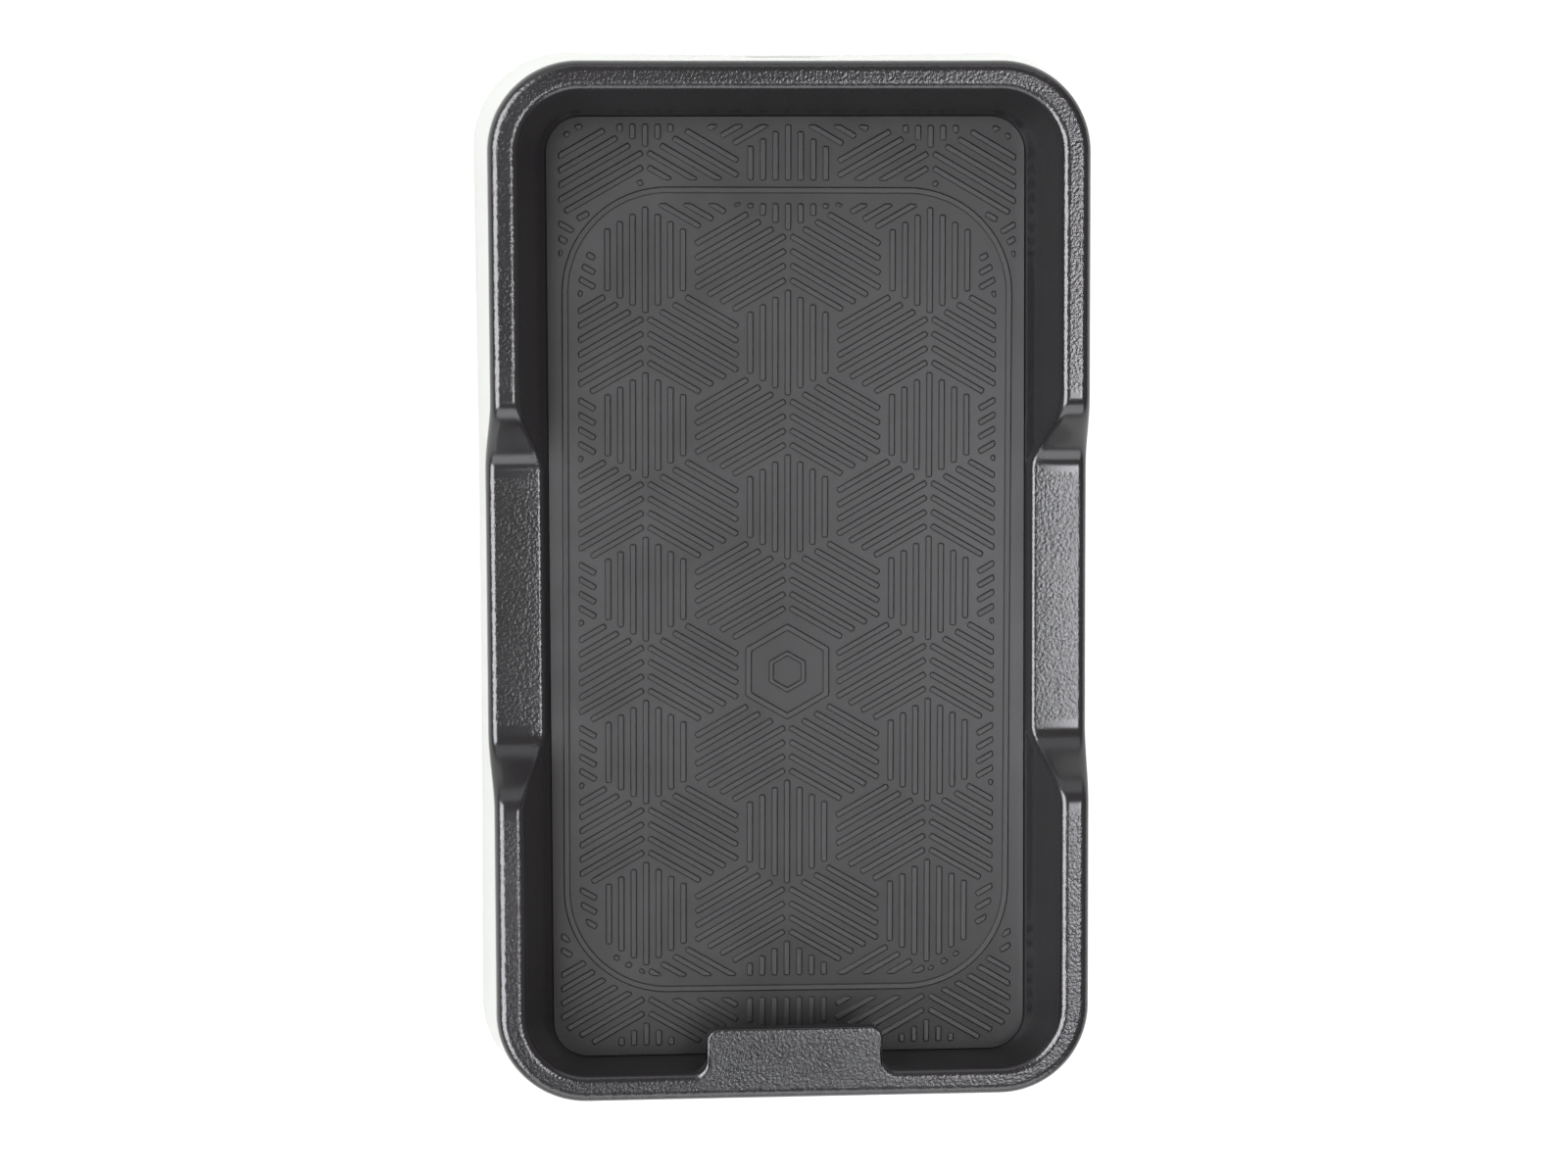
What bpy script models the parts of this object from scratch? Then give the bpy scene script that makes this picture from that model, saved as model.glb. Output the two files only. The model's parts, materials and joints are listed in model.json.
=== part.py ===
"""Wireless charging pad for a phone, modelled as the separate pieces it is assembled from.

A black tray with a rounded rim holds a rubber mat. Both of its side walls drop to a low shelf so that
fingers can reach the phone, and a tab at the near end reaches over the phone's foot. An off-white wall
goes round under the rim, and a base cover on four feet closes the case. The coils hang under the
tray's floor, and the circuit board stands on the base cover at the far end, behind the cable port.

Frame: +X right, +Y from the tab to the cable port, +Z up, origin on the table under the middle.
All sizes are in metres.
"""

import math
from dataclasses import dataclass

import bmesh
import bpy

# Case: overall form
RIM_WIDTH = 0.100
RIM_LENGTH = 0.174
RIM_CORNER = 0.015
FLOOR_TOP = 0.0126          # tray floor above the table
POCKET_DEPTH = 0.0134       # rim above the tray floor
WALL_DRAFT = 0.107          # outward run of the outer wall for each unit of drop
CORNER_GROWTH = 0.3         # share of the draft that the outer corners grow by
SIDE_BOW = 0.0004           # how far the outer wall's foot curves in at mid side
END_BOW = 0.00045
PIECE_GAP = 0.0003          # between pieces that touch
CORNER_STEPS = 6
SHARP_ANGLE = 35            # degrees between faces, past which an edge looks sharp

# Tray: rim, walls and floor
RIM_BAND = 0.0044           # width of the rim, outer face to pocket wall
RIM_OUTER_ROUND = 0.0016
RIM_INNER_ROUND = 0.0016
LIP_HEIGHT = 0.003          # black edge seen from the side
TONGUE_HEIGHT = 0.0015      # step that locates the outer housing
FLOOR_INSET_SIDE = 0.0092   # rim outline to floor edge
FLOOR_INSET_FAR = 0.0085
FLOOR_INSET_NEAR = 0.0049
FLOOR_CORNER = 0.0063
FLOOR_ROUND = 0.0008
FLOOR_THICKNESS = 0.0018
POCKET_WALL = 0.002

# Tray: finger dips in both side walls
DIP_CENTRE = -0.0032
DIP_FLAT_LENGTH = 0.0442
DIP_RAMP = 0.0125
DIP_RAMP_STEPS = 6
DIP_SHELF_RISE = 0.0034     # shelf above the tray floor
DIP_ROUND = 0.0007

# Tray: hold-down tab at the near end
TAB_WIDTH = 0.0298
TAB_REACH = 0.0075          # from the pocket wall to the tab's front
TAB_THICKNESS = 0.0024
TAB_FRONT_ROUND = 0.0021
TAB_ROOT_ROUND = 0.0025
TAB_EDGE_ROUND = 0.00045
TAB_ARC_STEPS = 3

# Tray: screw bosses and shield posts
BOSS_EDGE = 0.0135          # boss line to the rim's outline, at the sides
BOSS_FAR_EDGE = 0.0135
BOSS_NEAR_EDGE = 0.010
BOSS_RADIUS = 0.003
BOSS_PILOT_DEPTH = 0.0061
POST_RADIUS = 0.0022
POST_PILOT_DEPTH = 0.0026

# Outer housing
HOUSING_WALL = 0.002
HOUSING_FOOT = 0.0012       # lower edge above the table
HOUSING_CHAMFER = 0.0007
LEDGE_WIDTH = 0.0015
LEDGE_THICKNESS = 0.0015
PORT_WIDTH = 0.012
PORT_HEIGHT = 0.0056
PORT_ROUND = 0.0018

# Base cover and feet
COVER_THICKNESS = 0.002
COVER_COUNTERBORE_DEPTH = 0.0011
FOOT_RADIUS = 0.005
FOOT_HEIGHT = 0.0018
FOOT_EDGE_X = 0.009         # foot centre to the rim's outline
FOOT_EDGE_Y = 0.029
FOOT_ROUND = 0.0004
VENT_COUNT = 7
VENT_PITCH = 0.006
VENT_WIDTH = 0.0018
VENT_LENGTH = 0.020
STANDOFF_RADIUS = 0.0022
STANDOFF_HEIGHT = 0.0017
STANDOFF_PILOT_DEPTH = 0.0025

# Screws
BASE_SCREW_SHANK = 0.0012
BASE_SCREW_HEAD = 0.0026
BASE_SCREW_HEAD_HEIGHT = 0.0008
BASE_SCREW_LENGTH = 0.007
SMALL_SCREW_SHANK = 0.0008
SMALL_SCREW_HEAD = 0.0019
SMALL_SCREW_HEAD_HEIGHT = 0.0009
SHIELD_SCREW_LENGTH = 0.0034
BOARD_SCREW_LENGTH = 0.0037
SOCKET_SHARE = 0.55         # socket across its corners, as a share of the head
SOCKET_DEPTH = 0.0004
SCREW_SIDES = 12

# Mat
MAT_SIDE_GAP = 0.00055      # mat's edge to the pocket wall
MAT_FAR_GAP = 0.0003
MAT_NEAR_GAP = 0.00045
MAT_CORNER = 0.006
MAT_THICKNESS = 0.00105
ADHESIVE_THICKNESS = 0.0003
ADHESIVE_GAP = 0.0002
ADHESIVE_MARGIN = 0.001

# Circuit board and what stands on it
BOARD_WIDTH = 0.062
BOARD_LENGTH = 0.042
BOARD_THICKNESS = 0.0012
BOARD_MARGIN = 0.002        # board's far edge to the rim's outline
BOARD_CORNER = 0.002
BOARD_HOLE_EDGE = 0.003
SOLDER_GAP = 0.0002
SOCKET_WIDTH = 0.00894
SOCKET_HEIGHT = 0.0032
SOCKET_LENGTH = 0.0074
SOCKET_WALL_GAP = 0.0004
CONNECTOR_SIZE = (0.016, 0.005, 0.003)
CONNECTOR_EDGE = 0.002
CONTROLLER_SIZE = (0.007, 0.007, 0.0009)
INDUCTOR_SIZE = (0.007, 0.007, 0.003)
TRANSISTOR_SIZE = (0.005, 0.006, 0.001)
RESONANT_CAPACITOR_SIZE = (0.0032, 0.0025, 0.0025)
BULK_CAPACITOR_RADIUS = 0.00315
BULK_CAPACITOR_HEIGHT = 0.0039
PART_BEVEL = 0.0004         # on the inductor and the bulk capacitors
PART_COLUMN = 0.0205        # middle of the board to the middle of each group of parts
TRANSISTOR_GAP = 0.0025
RESONANT_GAP = 0.0032
BULK_GAP = 0.0013
SHELL_THICKNESS = 0.0003    # cable socket's steel shell
SOCKET_BACK = 0.0006
CONTACT_TONGUE = 0.0007
TONGUE_SIDE_GAP = 0.0008

# Coil stack, hung under the tray floor
STACK_CLEARANCE = 0.0015    # stack to the screw bosses
STACK_NEAR_MARGIN = 0.0156  # shield plate to the rim's outline
STACK_BOARD_GAP = 0.0034
PLATE_THICKNESS = 0.0008
PLATE_CORNER = 0.003
POST_EDGE_X = 0.008
POST_EDGE_Y = 0.0032
CARRIER_MARGIN = 0.0065     # carrier to the plate's ends
CARRIER_WALL = 0.0025
CARRIER_CORNER = 0.004
CARRIER_HEIGHT = 0.0033
NOTCH_FLOOR = 0.0008        # notch floor above the carrier's underside
NOTCH_LEFT = 0.0088         # notch's left end from the middle of the wall
FERRITE_THICKNESS = 0.0008
FERRITE_GAP = 0.0005
LAYER_GAP = 0.0002
COIL_THICKNESS = 0.0011
COIL_CLEARANCE = 0.001
COIL_BREADTH = 0.013
COIL_CORNER = 0.012
COIL_EYE_CORNER = 0.004
LEAD_CHANNEL = 0.003
LEAD_RADIUS = 0.0005
FOAM_WIDTH = 0.040
FOAM_LENGTH = 0.060
THERMISTOR_SIZE = (0.002, 0.003, 0.0009)

# Worked out from the values above
HEIGHT = FLOOR_TOP + POCKET_DEPTH
HALF_WIDTH = RIM_WIDTH / 2
HALF_LENGTH = RIM_LENGTH / 2
SHELF_TOP = FLOOR_TOP + DIP_SHELF_RISE
FLOOR_UNDERSIDE = FLOOR_TOP - FLOOR_THICKNESS
HOUSING_TOP_DROP = LIP_HEIGHT + PIECE_GAP
COVER_TOP = HOUSING_FOOT + COVER_THICKNESS
LEDGE_BOTTOM = COVER_TOP + PIECE_GAP
BOSS_X = HALF_WIDTH - BOSS_EDGE
BOSS_SPOTS = [
    (side * BOSS_X, y)
    for side in (-1, 1)
    for y in (BOSS_NEAR_EDGE - HALF_LENGTH, 0.0, HALF_LENGTH - BOSS_FAR_EDGE)
]
BOSS_FOOT = COVER_TOP + PIECE_GAP
BOARD_FAR = HALF_LENGTH - BOARD_MARGIN
BOARD_NEAR = BOARD_FAR - BOARD_LENGTH
BOARD_BOTTOM = COVER_TOP + STANDOFF_HEIGHT + PIECE_GAP
BOARD_TOP = BOARD_BOTTOM + BOARD_THICKNESS
BOARD_SPOTS = [
    (side * (BOARD_WIDTH / 2 - BOARD_HOLE_EDGE), y)
    for side in (-1, 1)
    for y in (BOARD_NEAR + BOARD_HOLE_EDGE, BOARD_FAR - BOARD_HOLE_EDGE)
]
SOCKET_MIDDLE = BOARD_TOP + SOLDER_GAP + SOCKET_HEIGHT / 2
PLATE_HALF_WIDTH = BOSS_X - BOSS_RADIUS - STACK_CLEARANCE
PLATE_NEAR = STACK_NEAR_MARGIN - HALF_LENGTH
PLATE_FAR = BOARD_NEAR - STACK_BOARD_GAP
STACK_Y = (PLATE_NEAR + PLATE_FAR) / 2
PLATE_HALF_LENGTH = (PLATE_FAR - PLATE_NEAR) / 2
POST_SPOTS = [
    (side * (PLATE_HALF_WIDTH - POST_EDGE_X), STACK_Y + end * (PLATE_HALF_LENGTH - POST_EDGE_Y))
    for side in (-1, 1)
    for end in (-1, 1)
]
UPPER_COIL_BOTTOM = FLOOR_UNDERSIDE - LAYER_GAP - COIL_THICKNESS
LOWER_COIL_BOTTOM = UPPER_COIL_BOTTOM - LAYER_GAP - COIL_THICKNESS
FERRITE_BOTTOM = LOWER_COIL_BOTTOM - LAYER_GAP - FERRITE_THICKNESS
PLATE_BOTTOM = FERRITE_BOTTOM - LAYER_GAP - PLATE_THICKNESS
POST_FOOT = PLATE_BOTTOM + PLATE_THICKNESS + PIECE_GAP
CARRIER_HALF_WIDTH = PLATE_HALF_WIDTH
CARRIER_HALF_LENGTH = PLATE_HALF_LENGTH - CARRIER_MARGIN
WINDOW_HALF_WIDTH = CARRIER_HALF_WIDTH - CARRIER_WALL
WINDOW_HALF_LENGTH = CARRIER_HALF_LENGTH - CARRIER_WALL
COIL_LENGTH = WINDOW_HALF_LENGTH - 1.5 * COIL_CLEARANCE
COIL_WIDTH = 2 * (WINDOW_HALF_WIDTH - LEAD_CHANNEL)
COIL_PITCH = (COIL_LENGTH + COIL_CLEARANCE) / 2


@dataclass(frozen=True)
class Rect:
    """A rounded rectangle, symmetric about the Y axis."""

    half_x: float
    near: float
    far: float
    corner: float


@dataclass(frozen=True)
class Mark:
    """One station round an outline, shared by every ring that passes it.

    place is an angle on a corner, a y on a side, or an x on an end. A mark on the tab also has the
    tab outline's point there, its normal away from the tab, and the round on its edge.
    """

    kind: str
    side: int
    end: int
    place: float
    tab_point: tuple = None
    tab_normal: tuple = None
    tab_round: float = 0.0


def clear_scene():
    """Remove every object, so that the model starts from nothing."""
    for item in list(bpy.data.objects):
        bpy.data.objects.remove(item, do_unlink=True)


def material(name, colour, roughness, metallic=0.0):
    """A Principled material."""
    made = bpy.data.materials.new(name)
    made.use_nodes = True
    shader = made.node_tree.nodes["Principled BSDF"]
    shader.inputs["Base Color"].default_value = (*colour, 1.0)
    shader.inputs["Roughness"].default_value = roughness
    shader.inputs["Metallic"].default_value = metallic
    return made


def add_object(name, mesh, finish=None):
    """Put a mesh in the scene under its node's name, shaded smooth but for its edges."""
    made = bpy.data.objects.new(name, mesh)
    bpy.context.scene.collection.objects.link(made)
    if finish is not None:
        mesh.materials.append(finish)
    mesh.shade_smooth()
    mesh.set_sharp_from_angle(angle=math.radians(SHARP_ANGLE))
    return made


def mesh_from(name, form):
    """Turn a bmesh into a mesh with its faces pointing out."""
    bmesh.ops.recalc_face_normals(form, faces=form.faces)
    mesh = bpy.data.meshes.new(name)
    form.to_mesh(mesh)
    form.free()
    return mesh


def loft(name, rings, closed=False):
    """Skin a list of rings of equal length. The two ends are capped unless the rings close on themselves."""
    form = bmesh.new()
    loops = [[form.verts.new(point) for point in ring] for ring in rings]
    pairs = list(zip(loops, loops[1:]))
    if closed:
        pairs.append((loops[-1], loops[0]))
    for low, high in pairs:
        for i in range(len(low)):
            j = (i + 1) % len(low)
            form.faces.new((low[i], low[j], high[j], high[i]))
    if not closed:
        form.faces.new(loops[0])
        form.faces.new(loops[-1])
    return mesh_from(name, form)


def circle(x, y, z, radius, sides):
    """A ring of points on a level circle."""
    turns = [2 * math.pi * i / sides for i in range(sides)]
    return [(x + radius * math.cos(turn), y + radius * math.sin(turn), z) for turn in turns]


def turned(name, x, y, profile, sides=24):
    """A round solid with its axis upright, from (radius, z) pairs."""
    return loft(name, [circle(x, y, z, radius, sides) for radius, z in profile])


def outline(rect, steps=4):
    """A rounded rectangle as points, anticlockwise."""
    points = []
    for side, end, start in ((1, 1, 0), (-1, 1, 90), (-1, -1, 180), (1, -1, 270)):
        centre_x = side * (rect.half_x - rect.corner)
        centre_y = rect.far - rect.corner if end > 0 else rect.near + rect.corner
        for i in range(steps + 1):
            turn = math.radians(start + 90 * i / steps)
            points.append((centre_x + rect.corner * math.cos(turn), centre_y + rect.corner * math.sin(turn)))
    return points


def slab(name, rect, bottom, top, steps=4):
    """A level plate with rounded corners."""
    return loft(name, [[(x, y, z) for x, y in outline(rect, steps)] for z in (bottom, top)])


def block(name, centre, size, bevel=0.0):
    """A box, with its edges bevelled if asked. centre is the middle of its underside."""
    form = bmesh.new()
    bmesh.ops.create_cube(form, size=1.0)
    bmesh.ops.scale(form, vec=size, verts=form.verts)
    bmesh.ops.translate(form, vec=(centre[0], centre[1], centre[2] + size[2] / 2), verts=form.verts)
    if bevel:
        bmesh.ops.bevel(form, geom=form.edges[:], offset=bevel, segments=1, affect="EDGES")
    return mesh_from(name, form)


def joined(name, meshes):
    """Several meshes in one, for use as a cutter or as bosses to add."""
    form = bmesh.new()
    for mesh in meshes:
        form.from_mesh(mesh)
        bpy.data.meshes.remove(mesh)
    return mesh_from(name, form)


def tool(name, mesh):
    """A body that shapes another piece and isn't a piece itself."""
    made = add_object(name, mesh)
    made.hide_render = True
    made.display_type = "WIRE"
    return made


def boolean(piece, operation, other):
    """Add or cut another body, with the exact solver."""
    change = piece.modifiers.new(f"{operation.lower()}_{other.name}", "BOOLEAN")
    change.operation = operation
    change.solver = "EXACT"
    change.object = other


def dip_share(y):
    """How far the rim has dropped at y: 0 at full height, 1 on the shelf."""
    past_flat = abs(y - DIP_CENTRE) - DIP_FLAT_LENGTH / 2
    ramp = min(max(past_flat / DIP_RAMP, 0.0), 1.0)
    return 0.5 + 0.5 * math.cos(math.pi * ramp)


def mark_share(mark):
    """The dip's share at a mark, which only the sides have."""
    return dip_share(mark.place) if mark.kind == "side" else 0.0


def rim_top(mark):
    """Height of the rim at a mark."""
    return HEIGHT - (HEIGHT - SHELF_TOP) * mark_share(mark)


def blended(mark, full, dipped):
    """A size that changes from the full rim to the dip's shelf."""
    return full + (dipped - full) * mark_share(mark)


def outer_rect(z, inset):
    """The outer wall's outline at a height, moved in by inset."""
    drafted = (HEIGHT - z) * WALL_DRAFT
    grow = drafted - inset
    corner = RIM_CORNER + drafted * CORNER_GROWTH - inset
    return Rect(HALF_WIDTH + grow, -HALF_LENGTH - grow, HALF_LENGTH + grow, corner)


def pocket_rect(z, outset):
    """The pocket wall's outline at a height, moved out by outset."""
    share = (HEIGHT - z) / POCKET_DEPTH
    side = RIM_BAND + share * (FLOOR_INSET_SIDE - RIM_BAND)
    far = RIM_BAND + share * (FLOOR_INSET_FAR - RIM_BAND)
    near = RIM_BAND + share * (FLOOR_INSET_NEAR - RIM_BAND)
    top_corner = RIM_CORNER - RIM_BAND
    corner = top_corner + share * (FLOOR_CORNER - top_corner)
    return Rect(
        HALF_WIDTH - side + outset,
        -HALF_LENGTH + near - outset,
        HALF_LENGTH - far + outset,
        corner + outset,
    )


def place_on(rect, mark):
    """A mark's point on a rounded rectangle."""
    if mark.kind == "side":
        return mark.side * rect.half_x, mark.place
    if mark.kind == "end":
        return mark.place, rect.far if mark.end > 0 else rect.near
    centre_x = mark.side * (rect.half_x - rect.corner)
    centre_y = rect.far - rect.corner if mark.end > 0 else rect.near + rect.corner
    return centre_x + rect.corner * math.cos(mark.place), centre_y + rect.corner * math.sin(mark.place)


def outer_ring(marks, inset, height):
    """A ring that follows the outer wall. inset and height are functions of the mark."""
    ring = []
    for mark in marks:
        z = height(mark)
        x, y = place_on(outer_rect(z, inset(mark)), mark)
        low = (HEIGHT - z) / HEIGHT
        if mark.kind == "side":
            x -= mark.side * SIDE_BOW * low * (1 - (y / (HALF_LENGTH - RIM_CORNER)) ** 2)
        if mark.kind == "end":
            y -= mark.end * END_BOW * low * (1 - (x / (HALF_WIDTH - RIM_CORNER)) ** 2)
        ring.append((x, y, z))
    return ring


def pocket_ring(marks, outset, height):
    """A ring that follows the pocket wall. height is a function of the mark."""
    ring = []
    for mark in marks:
        z = height(mark)
        ring.append((*place_on(pocket_rect(z, outset), mark), z))
    return ring


def edge_ring(marks, turn):
    """A ring on the rim's rounded inner edge, from the top face (turn 0) to the wall (a quarter turn)."""
    ring = []
    for mark in marks:
        edge = mark.tab_round or blended(mark, RIM_INNER_ROUND, DIP_ROUND)
        outset = edge * (1 - math.sin(turn))
        z = rim_top(mark) - edge * (1 - math.cos(turn))
        if mark.tab_point is None:
            x, y = place_on(pocket_rect(rim_top(mark) - edge, outset), mark)
        else:
            x = mark.tab_point[0] - outset * mark.tab_normal[0]
            y = mark.tab_point[1] - outset * mark.tab_normal[1]
        ring.append((x, y, z))
    return ring


def tab_front_ring(marks, drop, tab_drop):
    """A ring down the tab's front edge, and down the pocket wall elsewhere."""
    ring = []
    for mark in marks:
        if mark.tab_point is None:
            z = rim_top(mark) - drop
            ring.append((*place_on(pocket_rect(z, 0.0), mark), z))
        else:
            ring.append((*mark.tab_point, HEIGHT - tab_drop))
    return ring


def tab_marks():
    """Marks round the tab's outline, left to right: root arc, side, front corner, and mirrored back."""
    wall_y = pocket_rect(HEIGHT - RIM_INNER_ROUND, 0.0).near
    front_y = wall_y + TAB_REACH
    half = TAB_WIDTH / 2
    left = []
    for i in range(TAB_ARC_STEPS + 1):
        turn = math.radians(90 * i / TAB_ARC_STEPS)
        x = -half - TAB_ROOT_ROUND + TAB_ROOT_ROUND * math.sin(turn)
        y = wall_y + TAB_ROOT_ROUND * (1 - math.cos(turn))
        edge = RIM_INNER_ROUND + (TAB_EDGE_ROUND - RIM_INNER_ROUND) * i / TAB_ARC_STEPS
        left.append(((x, y), (-math.sin(turn), math.cos(turn)), edge))
    for i in range(TAB_ARC_STEPS + 1):
        turn = math.radians(90 * i / TAB_ARC_STEPS)
        x = -half + TAB_FRONT_ROUND * (1 - math.cos(turn))
        y = front_y - TAB_FRONT_ROUND * (1 - math.sin(turn))
        left.append(((x, y), (-math.cos(turn), math.sin(turn)), TAB_EDGE_ROUND))
    first = left[0][0][0]
    last = left[-1][0][0]
    marks = []
    for i, (point, normal, edge) in enumerate(left):
        x = first + (last - first) * i / (len(left) - 1)
        marks.append(Mark("end", 0, -1, x, point, normal, edge))
    for mark in reversed(marks[:]):
        point = (-mark.tab_point[0], mark.tab_point[1])
        normal = (-mark.tab_normal[0], mark.tab_normal[1])
        marks.append(Mark("end", 0, -1, -mark.place, point, normal, mark.tab_round))
    return marks


def case_marks(with_tab):
    """Marks round the case, anticlockwise from the near end of the right side."""
    reach = DIP_FLAT_LENGTH / 2 + DIP_RAMP
    ramp = [DIP_RAMP * i / DIP_RAMP_STEPS for i in range(DIP_RAMP_STEPS + 1)]
    side_ys = [DIP_CENTRE - reach + step for step in ramp]
    side_ys.append(DIP_CENTRE)
    side_ys += [DIP_CENTRE + DIP_FLAT_LENGTH / 2 + step for step in ramp]
    end_x = (HALF_WIDTH - RIM_CORNER) / 2
    near_x = (HALF_WIDTH - RIM_CORNER + TAB_WIDTH / 2 + TAB_ROOT_ROUND) / 2

    def corner(side, end, start):
        turns = [math.radians(start + 90 * i / CORNER_STEPS) for i in range(CORNER_STEPS + 1)]
        return [Mark("corner", side, end, turn) for turn in turns]

    marks = [Mark("side", 1, 0, y) for y in side_ys]
    marks += corner(1, 1, 0)
    marks += [Mark("end", 0, 1, x) for x in (end_x, 0.0, -end_x)]
    marks += corner(-1, 1, 90)
    marks += [Mark("side", -1, 0, y) for y in reversed(side_ys)]
    marks += corner(-1, -1, 180)
    marks += [Mark("end", 0, -1, -near_x)]
    marks += tab_marks() if with_tab else [Mark("end", 0, -1, 0.0)]
    marks += [Mark("end", 0, -1, near_x)]
    marks += corner(1, -1, 270)
    return marks


def constant(value):
    """A size that is the same at every mark."""
    return lambda mark: value


def below_rim(drop):
    """A height that stays a fixed drop below the rim."""
    return lambda mark: rim_top(mark) - drop


def outer_round_ring(marks, turn):
    """A ring on the rim's rounded outer edge, from the outer face (turn 0) to the top face."""
    def edge(mark):
        return blended(mark, RIM_OUTER_ROUND, DIP_ROUND)

    return outer_ring(
        marks,
        lambda mark: edge(mark) * (1 - math.cos(turn)),
        lambda mark: rim_top(mark) - edge(mark) * (1 - math.sin(turn)),
    )


def tray_rings():
    """Rings over the tray's whole skin, from the floor's underside out over the rim and into the pocket."""
    marks = case_marks(with_tab=True)
    skirt = HOUSING_WALL + PIECE_GAP
    quarter = [math.radians(turn) for turn in (0, 30, 60, 90)]
    rings = [
        pocket_ring(marks, POCKET_WALL, constant(FLOOR_UNDERSIDE)),
        pocket_ring(marks, POCKET_WALL, below_rim(LIP_HEIGHT + TONGUE_HEIGHT)),
        outer_ring(marks, constant(skirt), below_rim(LIP_HEIGHT + TONGUE_HEIGHT)),
        outer_ring(marks, constant(skirt), below_rim(LIP_HEIGHT)),
        outer_ring(marks, constant(0.0), below_rim(LIP_HEIGHT)),
    ]
    rings += [outer_round_ring(marks, turn) for turn in quarter]
    rings += [edge_ring(marks, turn) for turn in quarter]
    rings.append(tab_front_ring(marks, (RIM_INNER_ROUND + TAB_THICKNESS) / 2, TAB_THICKNESS))
    rings.append(pocket_ring(marks, 0.0, below_rim(TAB_THICKNESS)))
    wall_foot = FLOOR_TOP + FLOOR_ROUND
    for turn in quarter:
        inset = FLOOR_ROUND * (1 - math.cos(turn))
        z = wall_foot - FLOOR_ROUND * math.sin(turn)
        foot = pocket_rect(wall_foot, -inset)
        rings.append([(*place_on(foot, mark), z) for mark in marks])
    return rings


def build_tray(finish):
    """The tray, with its screw bosses and shield posts."""
    tray = add_object("charging_tray", loft("charging_tray", tray_rings()), finish)
    sunk = FLOOR_UNDERSIDE + FLOOR_THICKNESS / 2
    bosses = [turned("boss", x, y, ((BOSS_RADIUS, BOSS_FOOT), (BOSS_RADIUS, sunk))) for x, y in BOSS_SPOTS]
    bosses += [turned("post", x, y, ((POST_RADIUS, POST_FOOT), (POST_RADIUS, sunk))) for x, y in POST_SPOTS]
    boss_pilot = BASE_SCREW_SHANK + PIECE_GAP
    post_pilot = SMALL_SCREW_SHANK + PIECE_GAP
    pilots = [
        turned("pilot", x, y,
               ((boss_pilot, BOSS_FOOT - PIECE_GAP), (boss_pilot, BOSS_FOOT + BOSS_PILOT_DEPTH)), 16)
        for x, y in BOSS_SPOTS
    ]
    pilots += [
        turned("pilot", x, y,
               ((post_pilot, POST_FOOT - PIECE_GAP), (post_pilot, POST_FOOT + POST_PILOT_DEPTH)), 12)
        for x, y in POST_SPOTS
    ]
    boolean(tray, "UNION", tool("tray_bosses", joined("tray_bosses", bosses)))
    boolean(tray, "DIFFERENCE", tool("tray_pilots", joined("tray_pilots", pilots)))


def build_mat(rubber, tape):
    """The rubber mat, and the adhesive sheet that holds it to the tray floor."""
    mat_bottom = FLOOR_TOP + ADHESIVE_GAP + ADHESIVE_THICKNESS + ADHESIVE_GAP
    wall = pocket_rect(mat_bottom, 0.0)
    mat = Rect(wall.half_x - MAT_SIDE_GAP, wall.near + MAT_NEAR_GAP, wall.far - MAT_FAR_GAP, MAT_CORNER)
    add_object("grip_mat", slab("grip_mat", mat, mat_bottom, mat_bottom + MAT_THICKNESS, 6), rubber)
    sheet = Rect(
        mat.half_x - ADHESIVE_MARGIN,
        mat.near + ADHESIVE_MARGIN,
        mat.far - ADHESIVE_MARGIN,
        MAT_CORNER - ADHESIVE_MARGIN,
    )
    bottom = FLOOR_TOP + ADHESIVE_GAP
    add_object("mat_adhesive", slab("mat_adhesive", sheet, bottom, bottom + ADHESIVE_THICKNESS), tape)


def build_housing(finish):
    """The off-white wall, with an inner ledge over the base cover and the cable port in its far end."""
    marks = case_marks(with_tab=False)
    top = below_rim(HOUSING_TOP_DROP)
    wall = constant(HOUSING_WALL)
    ledge = constant(HOUSING_WALL + LEDGE_WIDTH)
    ledge_top = LEDGE_BOTTOM + LEDGE_THICKNESS
    rings = [
        outer_ring(marks, constant(HOUSING_CHAMFER), constant(HOUSING_FOOT)),
        outer_ring(marks, constant(0.0), constant(HOUSING_FOOT + HOUSING_CHAMFER)),
        outer_ring(marks, constant(0.0), top),
        outer_ring(marks, wall, top),
        outer_ring(marks, wall, constant(ledge_top)),
        outer_ring(marks, ledge, constant(ledge_top)),
        outer_ring(marks, ledge, constant(LEDGE_BOTTOM)),
        outer_ring(marks, wall, constant(LEDGE_BOTTOM)),
        outer_ring(marks, wall, constant(HOUSING_FOOT)),
    ]
    housing = add_object("outer_housing", loft("outer_housing", rings, closed=True), finish)
    reach = outer_rect(SOCKET_MIDDLE, 0.0).far
    port = Rect(PORT_WIDTH / 2, SOCKET_MIDDLE - PORT_HEIGHT / 2, SOCKET_MIDDLE + PORT_HEIGHT / 2, PORT_ROUND)
    rings = [[(x, y, z) for x, z in outline(port)] for y in (reach - 2 * HOUSING_WALL, reach + HOUSING_WALL)]
    boolean(housing, "DIFFERENCE", tool("port_cutter", loft("port_cutter", rings)))


def foot_spots():
    """Middles of the four feet."""
    x = HALF_WIDTH - FOOT_EDGE_X
    y = HALF_LENGTH - FOOT_EDGE_Y
    return [(side * x, end * y) for side in (-1, 1) for end in (-1, 1)]


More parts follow.
